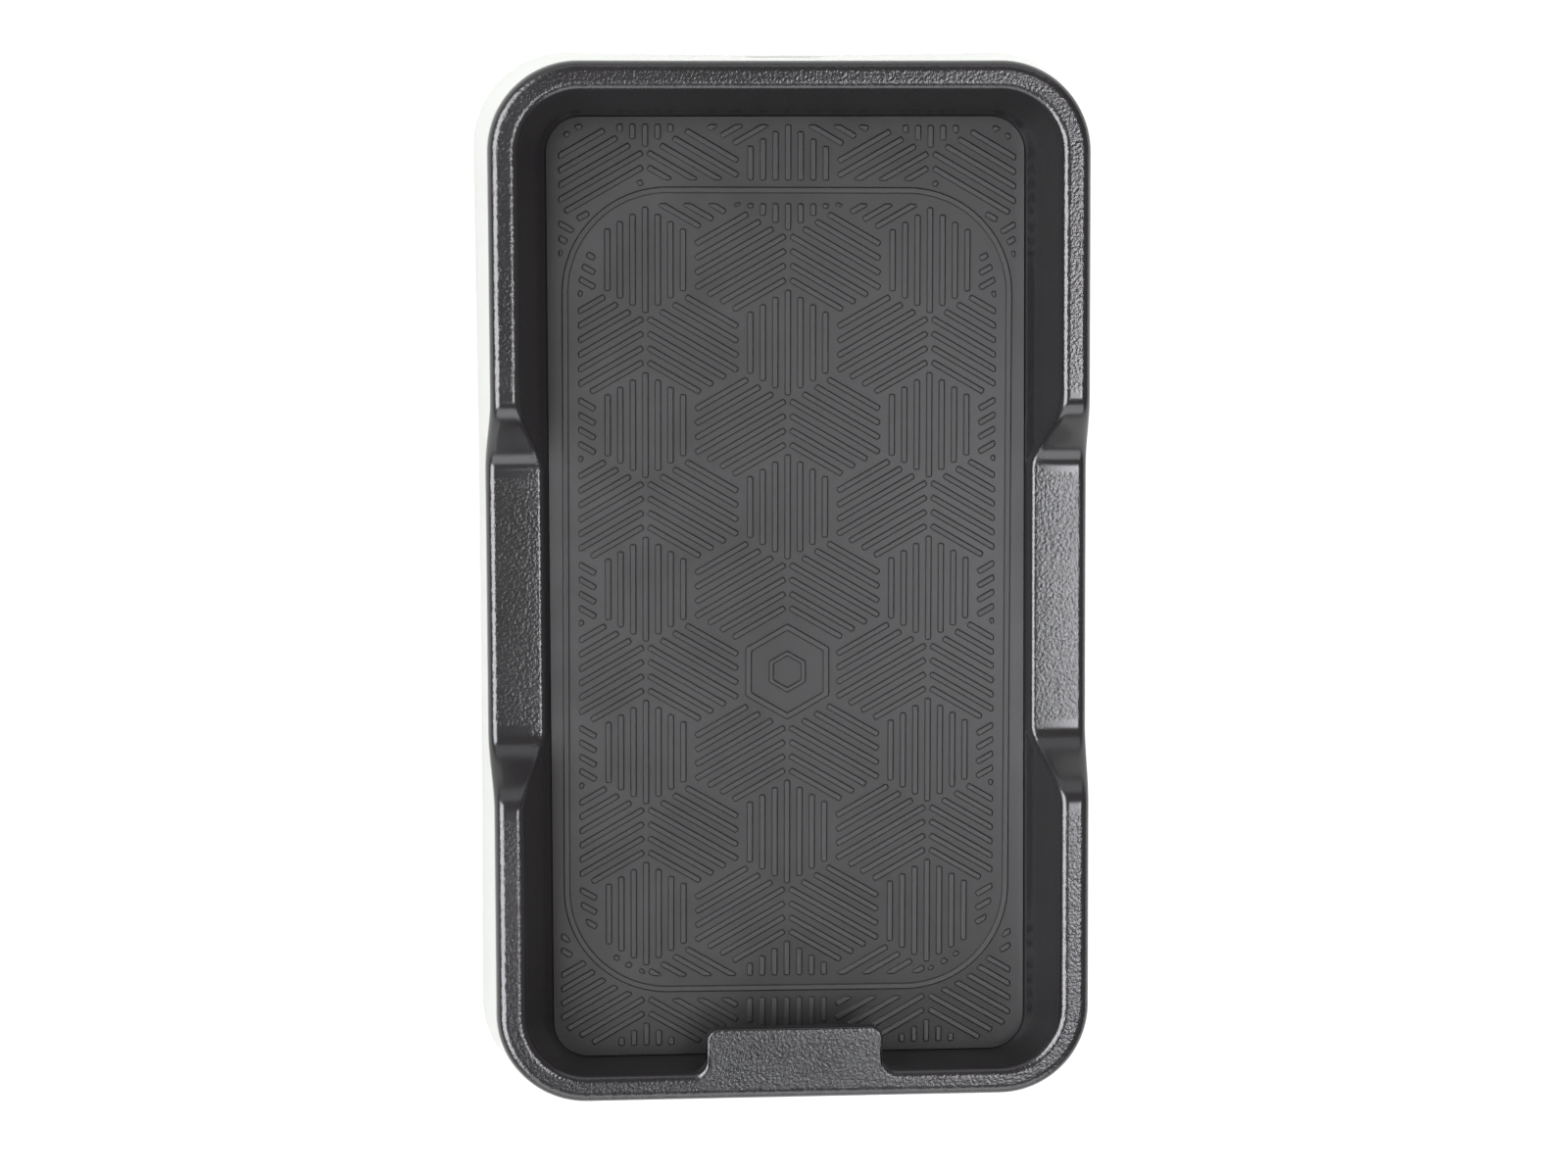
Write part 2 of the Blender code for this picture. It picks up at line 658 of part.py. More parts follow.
def build_cover(finish):
    """The base cover, with standoffs for the board, counterbored screw holes, foot recesses and vents."""
    marks = case_marks(with_tab=False)
    inset = constant(HOUSING_WALL + PIECE_GAP)
    rings = [outer_ring(marks, inset, constant(z)) for z in (HOUSING_FOOT, COVER_TOP)]
    cover = add_object("base_cover", loft("base_cover", rings), finish)
    standoff_top = COVER_TOP + STANDOFF_HEIGHT
    standoff = ((STANDOFF_RADIUS, COVER_TOP - COVER_THICKNESS / 2), (STANDOFF_RADIUS, standoff_top))
    standoffs = [turned("standoff", x, y, standoff, 16) for x, y in BOARD_SPOTS]
    boolean(cover, "UNION", tool("cover_standoffs", joined("cover_standoffs", standoffs)))

    below = HOUSING_FOOT - PIECE_GAP
    above = COVER_TOP + PIECE_GAP
    hole = BASE_SCREW_SHANK + PIECE_GAP
    bore = BASE_SCREW_HEAD + PIECE_GAP
    step = HOUSING_FOOT + COVER_COUNTERBORE_DEPTH
    screw_hole = ((bore, below), (bore, step), (hole, step), (hole, above))
    cuts = [turned("screw_hole", x, y, screw_hole) for x, y in BOSS_SPOTS]
    recess_radius = FOOT_RADIUS + PIECE_GAP
    recess = ((recess_radius, below), (recess_radius, FOOT_HEIGHT + PIECE_GAP))
    cuts += [turned("recess", x, y, recess) for x, y in foot_spots()]
    pilot = SMALL_SCREW_SHANK + PIECE_GAP
    pilot_hole = ((pilot, standoff_top - STANDOFF_PILOT_DEPTH), (pilot, standoff_top + PIECE_GAP))
    cuts += [turned("pilot", x, y, pilot_hole, 12) for x, y in BOARD_SPOTS]
    vent_y = (BOARD_NEAR + BOARD_FAR) / 2
    for i in range(VENT_COUNT):
        x = (i - (VENT_COUNT - 1) / 2) * VENT_PITCH
        slot = Rect(VENT_WIDTH / 2, vent_y - VENT_LENGTH / 2, vent_y + VENT_LENGTH / 2, VENT_WIDTH / 2)
        cuts.append(loft("vent", [[(x + dx, y, z) for dx, y in outline(slot, 3)] for z in (below, above)]))
    boolean(cover, "DIFFERENCE", tool("cover_cuts", joined("cover_cuts", cuts)))


def build_feet(rubber):
    """Four round feet that stand in the base cover's recesses."""
    profile = (
        (FOOT_RADIUS - FOOT_ROUND, 0.0),
        (FOOT_RADIUS, FOOT_ROUND),
        (FOOT_RADIUS, FOOT_HEIGHT),
    )
    for i, (x, y) in enumerate(foot_spots()):
        add_object(f"foot_{i + 1}", turned(f"foot_{i + 1}", x, y, profile), rubber)


def screw_mesh(name, spot, head_z, head, height, shank, length, upward):
    """A screw with a hexagon socket. head_z is the head's outer face, and the shank goes away from it."""
    x, y = spot
    way = 1 if upward else -1
    socket = head * SOCKET_SHARE
    flats = []
    for px, py, pz in circle(0.0, 0.0, head_z, 1.0, SCREW_SIDES):
        turn = math.atan2(py, px)
        edge = socket * math.cos(math.pi / 6) / math.cos((turn % (math.pi / 3)) - math.pi / 6)
        flats.append((x + edge * px, y + edge * py, pz))
    deep = [(px, py, pz + way * SOCKET_DEPTH) for px, py, pz in flats]
    rings = [deep, flats]
    for radius, step in ((head, 0.0), (head, height), (shank, height), (shank, height + length)):
        rings.append(circle(x, y, head_z + way * step, radius, SCREW_SIDES))
    return loft(name, rings)


def build_screws(steel):
    """Screws for the base cover, the board and the shield plate."""
    head_z = HOUSING_FOOT + COVER_COUNTERBORE_DEPTH - PIECE_GAP - BASE_SCREW_HEAD_HEIGHT
    for i, spot in enumerate(BOSS_SPOTS):
        name = f"base_screw_{i + 1}"
        mesh = screw_mesh(name, spot, head_z, BASE_SCREW_HEAD, BASE_SCREW_HEAD_HEIGHT,
                          BASE_SCREW_SHANK, BASE_SCREW_LENGTH, True)
        add_object(name, mesh, steel)
    board_head = BOARD_TOP + SOLDER_GAP + SMALL_SCREW_HEAD_HEIGHT
    for i, spot in enumerate(BOARD_SPOTS):
        name = f"board_screw_{i + 1}"
        mesh = screw_mesh(name, spot, board_head, SMALL_SCREW_HEAD, SMALL_SCREW_HEAD_HEIGHT,
                          SMALL_SCREW_SHANK, BOARD_SCREW_LENGTH, False)
        add_object(name, mesh, steel)
    shield_head = PLATE_BOTTOM - PIECE_GAP - SMALL_SCREW_HEAD_HEIGHT
    for i, spot in enumerate(POST_SPOTS):
        name = f"shield_screw_{i + 1}"
        mesh = screw_mesh(name, spot, shield_head, SMALL_SCREW_HEAD, SMALL_SCREW_HEAD_HEIGHT,
                          SMALL_SCREW_SHANK, SHIELD_SCREW_LENGTH, True)
        add_object(name, mesh, steel)


def stack_rect(half_x, half_y, corner, y=STACK_Y):
    """A rectangle centred on the coil stack, or on another y."""
    return Rect(half_x, y - half_y, y + half_y, corner)


def build_stack(aluminium, ferrite_black, copper, plastic, foam_grey, sensor):
    """Shield plate, foam, ferrite sheet, coil carrier, three coils and the thermistor."""
    plate_rect = stack_rect(PLATE_HALF_WIDTH, PLATE_HALF_LENGTH, PLATE_CORNER)
    plate_top = PLATE_BOTTOM + PLATE_THICKNESS
    plate = add_object("shield_plate", slab("shield_plate", plate_rect, PLATE_BOTTOM, plate_top), aluminium)
    hole = SMALL_SCREW_SHANK + PIECE_GAP + LAYER_GAP
    holes = [
        turned("hole", x, y, ((hole, PLATE_BOTTOM - PIECE_GAP), (hole, plate_top + PIECE_GAP)), 12)
        for x, y in POST_SPOTS
    ]
    boolean(plate, "DIFFERENCE", tool("plate_holes", joined("plate_holes", holes)))

    foam_bottom = COVER_TOP + LAYER_GAP
    foam = (FOAM_WIDTH, FOAM_LENGTH, PLATE_BOTTOM - LAYER_GAP - foam_bottom)
    add_object("foam_spacer", block("foam_spacer", (0.0, STACK_Y, foam_bottom), foam), foam_grey)

    sheet = stack_rect(WINDOW_HALF_WIDTH - FERRITE_GAP, WINDOW_HALF_LENGTH - FERRITE_GAP,
                       CARRIER_CORNER - CARRIER_WALL)
    sheet_top = FERRITE_BOTTOM + FERRITE_THICKNESS
    add_object("ferrite_sheet", slab("ferrite_sheet", sheet, FERRITE_BOTTOM, sheet_top), ferrite_black)
    build_carrier(plastic)

    half_x = COIL_WIDTH / 2
    half_y = COIL_LENGTH / 2
    for name, y, bottom in (
        ("coil_near", STACK_Y - COIL_PITCH, LOWER_COIL_BOTTOM),
        ("coil_far", STACK_Y + COIL_PITCH, LOWER_COIL_BOTTOM),
        ("coil_centre", STACK_Y, UPPER_COIL_BOTTOM),
    ):
        outside = outline(stack_rect(half_x, half_y, COIL_CORNER, y), 5)
        eye = outline(stack_rect(half_x - COIL_BREADTH, half_y - COIL_BREADTH, COIL_EYE_CORNER, y), 5)
        top = bottom + COIL_THICKNESS
        rings = [[(px, py, z) for px, py in line] for line, z in (
            (outside, bottom), (outside, top), (eye, top), (eye, bottom))]
        add_object(name, loft(name, rings, closed=True), copper)

    add_object("thermistor",
               block("thermistor", (0.0, STACK_Y, UPPER_COIL_BOTTOM), THERMISTOR_SIZE), sensor)


def build_carrier(plastic):
    """The frame round the coils, with a notch in its far wall for their leads."""
    corner = CARRIER_CORNER
    outside = outline(stack_rect(CARRIER_HALF_WIDTH, CARRIER_HALF_LENGTH, corner))
    window = outline(stack_rect(WINDOW_HALF_WIDTH, WINDOW_HALF_LENGTH, corner - CARRIER_WALL))
    top = FERRITE_BOTTOM + CARRIER_HEIGHT
    rings = [[(x, y, z) for x, y in line] for line, z in (
        (outside, FERRITE_BOTTOM), (outside, top), (window, top), (window, FERRITE_BOTTOM))]
    carrier = add_object("coil_carrier", loft("coil_carrier", rings, closed=True), plastic)
    notch_y = STACK_Y + CARRIER_HALF_LENGTH - CARRIER_WALL / 2
    notch_left = -NOTCH_LEFT
    notch_right = WINDOW_HALF_WIDTH - FERRITE_GAP
    size = (notch_right - notch_left, 2 * CARRIER_WALL, CARRIER_HEIGHT)
    spot = ((notch_left + notch_right) / 2, notch_y, FERRITE_BOTTOM + NOTCH_FLOOR)
    boolean(carrier, "DIFFERENCE", tool("notch_cutter", block("notch_cutter", spot, size)))


def lead_curve(name, corners, finish):
    """An enamelled lead as a tube along a smooth curve through its corner points."""
    count = len(corners)
    padded = [corners[0]] + corners + [corners[-1]]
    route = []
    steps = 5
    for i in range(count - 1):
        before, start, end, after = padded[i:i + 4]
        for k in range(steps):
            t = k / steps
            route.append(tuple(
                0.5 * (2 * s + (e - b) * t + (2 * b - 5 * s + 4 * e - a) * t * t
                       + (3 * s - b - 3 * e + a) * t ** 3)
                for b, s, e, a in zip(before, start, end, after)
            ))
    route.append(corners[-1])
    curve = bpy.data.curves.new(name, "CURVE")
    curve.dimensions = "3D"
    curve.bevel_depth = LEAD_RADIUS
    curve.bevel_resolution = 2
    curve.use_fill_caps = True
    spline = curve.splines.new("POLY")
    spline.points.add(len(route) - 1)
    for point, place in zip(spline.points, route):
        point.co = (*place, 1.0)
    curve.materials.append(finish)
    made = bpy.data.objects.new(name, curve)
    bpy.context.scene.collection.objects.link(made)


def build_leads(copper):
    """The coils' leads, through the carrier's notch to the connector on the board."""
    channel = WINDOW_HALF_WIDTH - LEAD_CHANNEL / 2
    low = LOWER_COIL_BOTTOM + COIL_THICKNESS / 2
    high = UPPER_COIL_BOTTOM + COIL_THICKNESS / 2
    wall = STACK_Y + CARRIER_HALF_LENGTH
    end_y = BOARD_NEAR + CONNECTOR_EDGE - PIECE_GAP
    end_z = BOARD_TOP + SOLDER_GAP + CONNECTOR_SIZE[2] / 2
    near_y = STACK_Y - COIL_PITCH
    coil_edge = STACK_Y + COIL_PITCH + COIL_LENGTH / 2
    centre_edge = STACK_Y + COIL_LENGTH / 2
    spread = CONNECTOR_SIZE[0] / 3
    clear = LEAD_RADIUS + PIECE_GAP
    post_y = STACK_Y + PLATE_HALF_LENGTH - POST_EDGE_Y
    turn_y = post_y + POST_RADIUS + 3 * clear
    lead_curve("lead_near", [
        (channel, near_y, low),
        (channel, (near_y + wall) / 2, low),
        (channel, wall, low),
        (channel, post_y, low),
        (channel - 2 * clear, turn_y, low),
        (spread + 4 * clear, turn_y + clear, end_z),
        (spread, end_y, end_z),
    ], copper)
    lead_curve("lead_far", [
        (2 * clear, coil_edge + PIECE_GAP, low),
        (2 * clear, wall, low),
        (2 * clear, PLATE_FAR + clear, low - clear),
        (clear, (PLATE_FAR + end_y) / 2 + clear, (low + end_z) / 2),
        (0.0, end_y, end_z),
    ], copper)
    lead_curve("lead_centre", [
        (-spread, centre_edge + PIECE_GAP, high),
        (-spread, (centre_edge + wall) / 2, high),
        (-spread, wall + clear, high),
        (-spread, wall + 4 * clear, high - clear),
        (-spread, end_y, end_z),
    ], copper)


def build_board(board_green, chip_black, steel, can_metal, plastic, ceramic):
    """The circuit board and the parts that stand on it."""
    board_rect = Rect(BOARD_WIDTH / 2, BOARD_NEAR, BOARD_FAR, BOARD_CORNER)
    sheet = slab("circuit_board", board_rect, BOARD_BOTTOM, BOARD_TOP)
    board = add_object("circuit_board", sheet, board_green)
    hole = SMALL_SCREW_SHANK + PIECE_GAP + LAYER_GAP
    holes = [
        turned("hole", x, y, ((hole, BOARD_BOTTOM - PIECE_GAP), (hole, BOARD_TOP + PIECE_GAP)), 12)
        for x, y in BOARD_SPOTS
    ]
    boolean(board, "DIFFERENCE", tool("board_holes", joined("board_holes", holes)))

    base = BOARD_TOP + SOLDER_GAP
    middle = (BOARD_NEAR + BOARD_FAR) / 2
    connector_y = BOARD_NEAR + CONNECTOR_EDGE + CONNECTOR_SIZE[1] / 2
    add_object("coil_connector", block("coil_connector", (0.0, connector_y, base), CONNECTOR_SIZE), plastic)
    add_object("controller_chip", block("controller_chip", (0.0, middle, base), CONTROLLER_SIZE), chip_black)
    add_object("inductor",
               block("inductor", (-PART_COLUMN, middle + INDUCTOR_SIZE[1], base), INDUCTOR_SIZE, PART_BEVEL),
               chip_black)
    for i in range(4):
        x = PART_COLUMN + (i % 2 - 0.5) * (TRANSISTOR_SIZE[0] + TRANSISTOR_GAP)
        y = middle - TRANSISTOR_SIZE[1] + (i // 2) * (TRANSISTOR_SIZE[1] + TRANSISTOR_GAP)
        name = f"power_transistor_{i + 1}"
        add_object(name, block(name, (x, y, base), TRANSISTOR_SIZE), chip_black)
    for i in range(3):
        x = -PART_COLUMN + (i - 1) * (RESONANT_CAPACITOR_SIZE[0] + RESONANT_GAP)
        name = f"resonant_capacitor_{i + 1}"
        add_object(name, block(name, (x, middle - INDUCTOR_SIZE[1], base), RESONANT_CAPACITOR_SIZE), ceramic)
    can_top = base + BULK_CAPACITOR_HEIGHT
    can = (
        (BULK_CAPACITOR_RADIUS, base),
        (BULK_CAPACITOR_RADIUS, can_top - PART_BEVEL),
        (BULK_CAPACITOR_RADIUS - PART_BEVEL, can_top),
    )
    can_y = BOARD_FAR - BOARD_HOLE_EDGE - SMALL_SCREW_HEAD - BULK_CAPACITOR_RADIUS
    for i in range(2):
        x = PART_COLUMN - BULK_GAP + (i - 0.5) * (2 * BULK_CAPACITOR_RADIUS + BULK_GAP)
        name = f"bulk_capacitor_{i + 1}"
        add_object(name, turned(name, x, can_y, can), can_metal)
    build_socket(steel)


def build_socket(steel):
    """The cable socket: an open steel shell with a contact tongue inside, facing the port."""
    inside = outer_rect(SOCKET_MIDDLE, HOUSING_WALL).far - END_BOW
    mouth = inside - SOCKET_WALL_GAP
    back = mouth - SOCKET_LENGTH
    shell = SHELL_THICKNESS
    outside = Rect(SOCKET_WIDTH / 2, SOCKET_MIDDLE - SOCKET_HEIGHT / 2, SOCKET_MIDDLE + SOCKET_HEIGHT / 2,
                   SOCKET_HEIGHT / 2 - shell)
    hollow = Rect(outside.half_x - shell, outside.near + shell, outside.far - shell, outside.corner - shell)
    tongue = Rect(hollow.half_x - TONGUE_SIDE_GAP, SOCKET_MIDDLE - CONTACT_TONGUE / 2,
                  SOCKET_MIDDLE + CONTACT_TONGUE / 2, CONTACT_TONGUE / 4)
    depth = back + SOCKET_BACK
    rings = [[(x, y, z) for x, z in outline(shape)] for shape, y in (
        (outside, back), (outside, mouth), (hollow, mouth), (hollow, depth),
        (tongue, depth), (tongue, mouth - shell))]
    add_object("cable_socket", loft("cable_socket", rings), steel)


def main():
    """Build every piece."""
    clear_scene()
    tray_black = material("tray_black", (0.022, 0.023, 0.026), 0.38)
    mat_rubber = material("mat_rubber", (0.035, 0.035, 0.037), 0.7)
    housing_white = material("housing_white", (0.80, 0.82, 0.79), 0.25)
    cover_grey = material("cover_grey", (0.55, 0.56, 0.55), 0.5)
    foot_rubber = material("foot_rubber", (0.12, 0.12, 0.12), 0.8)
    screw_steel = material("screw_steel", (0.55, 0.56, 0.58), 0.3, 1.0)
    aluminium = material("aluminium", (0.77, 0.78, 0.79), 0.35, 1.0)
    can_metal = material("capacitor_can", (0.70, 0.70, 0.71), 0.35, 1.0)
    copper = material("copper_enamel", (0.60, 0.27, 0.12), 0.35, 1.0)
    ferrite = material("ferrite", (0.05, 0.05, 0.055), 0.5)
    carrier = material("carrier_plastic", (0.70, 0.69, 0.65), 0.5)
    foam = material("foam", (0.16, 0.16, 0.17), 0.95)
    tape = material("adhesive_tape", (0.65, 0.63, 0.55), 0.6)
    board = material("board_green", (0.03, 0.16, 0.08), 0.4)
    chip = material("chip_black", (0.02, 0.02, 0.022), 0.45)
    ceramic = material("capacitor_ceramic", (0.45, 0.34, 0.22), 0.4)
    build_tray(tray_black)
    build_mat(mat_rubber, tape)
    build_housing(housing_white)
    build_cover(cover_grey)
    build_feet(foot_rubber)
    build_screws(screw_steel)
    build_stack(aluminium, ferrite, copper, carrier, foam, chip)
    build_leads(copper)
    build_board(board, chip, screw_steel, can_metal, carrier, ceramic)


main()
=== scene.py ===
"""Looks of a tray-shaped wireless charging pad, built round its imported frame.

A black moulded tray with a rounded rim, two finger dips and a hold-down tab carries a ribbed rubber
mat. An off-white wall goes round below the rim, and a base cover on four feet closes the underside.
+X is right, +Y runs from the tab to the cable port, +Z is up, and every size is in metres.
"""

import json
import logging
import math
from collections.abc import Callable
from dataclasses import dataclass, field, fields, replace
from enum import Enum

import bpy
import numpy as np
from mathutils import Matrix, Vector


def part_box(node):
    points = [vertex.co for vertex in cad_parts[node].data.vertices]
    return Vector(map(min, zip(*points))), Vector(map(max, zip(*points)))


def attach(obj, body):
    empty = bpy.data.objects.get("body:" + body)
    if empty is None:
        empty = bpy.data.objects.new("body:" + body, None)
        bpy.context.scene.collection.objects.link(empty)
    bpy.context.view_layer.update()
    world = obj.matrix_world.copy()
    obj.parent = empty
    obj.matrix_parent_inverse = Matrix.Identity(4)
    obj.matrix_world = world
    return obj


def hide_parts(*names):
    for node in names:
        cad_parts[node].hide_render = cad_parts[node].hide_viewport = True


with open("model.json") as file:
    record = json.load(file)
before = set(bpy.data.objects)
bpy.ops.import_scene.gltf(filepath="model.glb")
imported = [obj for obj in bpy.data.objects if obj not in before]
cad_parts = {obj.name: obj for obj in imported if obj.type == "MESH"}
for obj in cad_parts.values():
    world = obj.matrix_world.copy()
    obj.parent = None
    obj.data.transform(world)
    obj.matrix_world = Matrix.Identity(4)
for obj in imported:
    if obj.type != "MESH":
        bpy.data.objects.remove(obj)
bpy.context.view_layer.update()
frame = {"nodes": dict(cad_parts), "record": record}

LOG = logging.getLogger("charging_pad")
ROOT = "root"

# The finger dips along each side: their middle, the flat shelf's length and each ramp's length
DIP_CENTRE = -0.0032
DIP_FLAT = 0.0442
DIP_RAMP = 0.0125

# Every finish: the middle of a noise's range, the spread of the roughness and the look of a coat
NOISE_RANGE = (0.3, 0.7)
ROUGHNESS_SPREAD = 0.06
COAT_ROUGHNESS = 0.08
EVEN = (1.0, 1.0, 1.0)
BRUSHED = (1.0, 0.06, 1.0)


# Small geometry helpers


def smooth_share(value: np.ndarray) -> np.ndarray:
    """A half cosine from 1 at or below 0 down to 0 at or above 1."""
    return 0.5 + 0.5 * np.cos(np.pi * np.clip(value, 0.0, 1.0))


def turns(start: float, stop: float, steps: int) -> np.ndarray:
    """Angles in radians from start to stop degrees, both included."""
    return np.radians(np.linspace(start, stop, steps + 1))


def quarter(radius: np.ndarray, turn: np.ndarray) -> tuple:
    """How far a quarter circle's point lies from the two faces it joins.

    Args:
        radius: the circle's radius.
        turn: the angle in radians, 0 on the first face and a right angle on the second.

    Returns:
        The distances from the first face and from the second.
    """
    return radius * (1 - np.cos(turn)), radius * (1 - np.sin(turn))


def at_height(flat: np.ndarray, z: float) -> np.ndarray:
    """Flat points with a height added to each."""
    return np.concatenate([flat, np.full((*flat.shape[:-1], 1), z)], axis=-1)


def grid_faces(rows: int, columns: int, closed: bool) -> np.ndarray:
    """Quads between neighbouring rings of a skin.

    Args:
        rows: number of rings.
        columns: points in each ring, which always closes on itself.
        closed: whether the last ring joins the first.

    Returns:
        An array of four point numbers for each quad.
    """
    row = np.arange(rows if closed else rows - 1)[:, None]
    column = np.arange(columns)[None, :]
    next_row = (row + 1) % rows
    next_column = (column + 1) % columns
    quads = [row * columns + column, row * columns + next_column,
             next_row * columns + next_column, next_row * columns + column]
    return np.stack([np.broadcast_to(q, (row.size, columns)) for q in quads], axis=-1).reshape(-1, 4)


@dataclass
class Body:
    """Points and faces that are gathered into one mesh."""

    points: list = field(default_factory=list)
    faces: list = field(default_factory=list)
    count: int = 0

    def add_skins(self, shapes: np.ndarray, closed: bool = False) -> None:
        """Add skins of one layout, each over a stack of rings and capped unless it closes on itself.

        Args:
            shapes: array of shapes, rings, points and coordinates.
            closed: whether the last ring of each joins its first.
        """
        many, rows, columns = shapes.shape[:3]
        starts = (np.arange(many) * rows * columns + self.count)[:, None]
        ring = np.arange(columns)
        self.points.append(shapes.reshape(-1, 3))
        self.faces += (grid_faces(rows, columns, closed) + starts[:, None]).reshape(-1, 4).tolist()
        if not closed:
            self.faces += (starts + ring[::-1]).tolist()
            self.faces += (starts + ring + (rows - 1) * columns).tolist()
        self.count += many * rows * columns

    def add_skin(self, rings: list, closed: bool = False) -> None:
        """Add one skin over a list of rings."""
        self.add_skins(np.stack(rings)[None], closed)

    def make(self, name: str, sharp_angle: float = 40.0) -> bpy.types.Object:
        """Turn the gathered skins into an object at the origin.

        Args:
            name: the object's name.
            sharp_angle: degrees between faces, past which an edge looks sharp.

        Returns:
            The new object, in the scene.
        """
        mesh = bpy.data.meshes.new(name)
        mesh.from_pydata(np.concatenate(self.points).tolist(), [], self.faces)
        mesh.update()
        mesh.shade_smooth()
        mesh.set_sharp_from_angle(angle=math.radians(sharp_angle))
        made = bpy.data.objects.new(name, mesh)
        bpy.context.scene.collection.objects.link(made)
        return made


@dataclass(frozen=True)
class Outline:
    """A rounded rectangle, the same to both sides of the Y axis. A size is a number or an array."""

    half_x: np.ndarray
    near: np.ndarray
    far: np.ndarray
    corner: np.ndarray

    def moved_out(self, distance: float) -> "Outline":
        """The same outline, moved out all round."""
        return Outline(self.half_x + distance, self.near - distance,
                       self.far + distance, self.corner + distance)

    def points(self, steps: int) -> np.ndarray:
        """The outline's points, anticlockwise: four quarter circles joined by straight sides."""
        arcs = []
        for side, end, start in ((1, 1, 0), (-1, 1, 90), (-1, -1, 180), (1, -1, 270)):
            angle = turns(start, start + 90, steps)
            centre_y = self.far - self.corner if end > 0 else self.near + self.corner
            arcs.append(np.stack([
                side * (self.half_x - self.corner) + self.corner * np.cos(angle),
                centre_y + self.corner * np.sin(angle),
            ], axis=-1))
        return np.concatenate(arcs)

    def distance(self, x: np.ndarray, y: np.ndarray) -> np.ndarray:
        """Signed distance of points from the outline, below 0 inside it."""
        middle = (self.near + self.far) / 2
        past_x = np.abs(x) - (self.half_x - self.corner)
        past_y = np.abs(y - middle) - ((self.far - self.near) / 2 - self.corner)
        outside = np.hypot(np.maximum(past_x, 0.0), np.maximum(past_y, 0.0))
        return outside + np.minimum(np.maximum(past_x, past_y), 0.0) - self.corner


# Finishes


Socket = bpy.types.NodeSocket


@dataclass
class Wiring:
    """The nodes of one material and the links between them."""

    nodes: bpy.types.Nodes
    links: bpy.types.NodeLinks

    def fed(self, kind: str, source: Socket, into: str | int) -> bpy.types.Node:
        """Add a node of a kind, with a source linked into one of its inputs."""
        node = self.nodes.new(kind)
        self.links.new(source, node.inputs[into])
        return node

    def place(self) -> Socket:
        """The place on the object."""
        return self.nodes.new("ShaderNodeTexCoord").outputs["Object"]

    def parts(self, vector: Socket) -> bpy.types.bpy_prop_collection:
        """A vector's X, Y and Z."""
        return self.fed("ShaderNodeSeparateXYZ", vector, "Vector").outputs

    def noise(self, size: float, detail: float, stretch: tuple = EVEN) -> Socket:
        """A noise whose features are about size metres across."""
        mapping = self.fed("ShaderNodeMapping", self.place(), "Vector")
        mapping.inputs["Scale"].default_value = stretch
        texture = self.fed("ShaderNodeTexNoise", mapping.outputs["Vector"], "Vector")
        texture.inputs["Scale"].default_value = 1.0 / size
        texture.inputs["Detail"].default_value = detail
        return texture.outputs["Fac"]

    def mapped(self, source: Socket, given: tuple, wanted: tuple, kind: str = "LINEAR") -> Socket:
        """Map one range on to another, held at both ends.

        Args:
            source: the value to map.
            given: the value's range.
            wanted: the range that it is mapped on to.
            kind: how it changes in between.

        Returns:
            The mapped value.
        """
        node = self.fed("ShaderNodeMapRange", source, "Value")
        node.interpolation_type = kind
        for name, value in zip(("From Min", "From Max", "To Min", "To Max"), (*given, *wanted)):
            node.inputs[name].default_value = value
        return node.outputs["Result"]

    def sum(self, kind: str, first: Socket, second: Socket | float = 0.0) -> Socket:
        """One sum on a socket and a number or another socket."""
        node = self.fed("ShaderNodeMath", first, 0)
        node.operation = kind
        if isinstance(second, float):
            node.inputs[1].default_value = second
        else:
            self.links.new(second, node.inputs[1])
        return node.outputs[0]


@dataclass(frozen=True)
class GrainMask:
    """Where a moulded grain shows. A slope is the upward part of a face's normal.

    The grain fades between two slopes, and between two distances past the ends of a dip's ramp. Inside
    the side rims the ramps don't count. Past the wall slopes the surface is duller.
    """

    slopes: tuple = (0.62, 0.92)
    ramp_margins: tuple = (0.0004, 0.0014)
    side_rim: tuple = (0.0440, 0.0438)
    least: float = 0.05
    wall_slopes: tuple = (0.50, 0.38)
    wall_dulling: float = 0.17

    def apply(self, wiring: Wiring, bump: bpy.types.Node, rough: Socket) -> Socket:
        """Fade the grain out on steep faces and on the ramps beside the finger dips.

        Args:
            wiring: the material's nodes and links.
            bump: the grain's bump node, whose strength is faded.
            rough: the roughness.

        Returns:
            The roughness with what the walls add to it.
        """
        def fade(value: Socket, ends: tuple) -> Socket:
            """A smooth step from the least strength at the first end to 1 at the second."""
            return wiring.mapped(value, ends, (self.least, 1.0), "SMOOTHSTEP")

        upward = wiring.parts(wiring.nodes.new("ShaderNodeNewGeometry").outputs["Normal"])["Z"]
        place = wiring.parts(wiring.place())
        along = wiring.sum("ABSOLUTE", wiring.sum("SUBTRACT", place["Y"], DIP_CENTRE))
        from_ramp = wiring.sum("ABSOLUTE", wiring.sum("SUBTRACT", along, (DIP_FLAT + DIP_RAMP) / 2))
        past_ramp = fade(from_ramp, tuple(DIP_RAMP / 2 + margin for margin in self.ramp_margins))
        inside = fade(wiring.sum("ABSOLUTE", place["X"]), self.side_rim)
        off_ramp = wiring.sum("MAXIMUM", past_ramp, inside)
        strength = wiring.sum("MULTIPLY", off_ramp, fade(upward, self.slopes))
        wiring.links.new(strength, bump.inputs["Strength"])
        dulling = wiring.sum("MULTIPLY", fade(upward, self.wall_slopes), self.wall_dulling)
        return wiring.sum("ADD", rough, dulling)


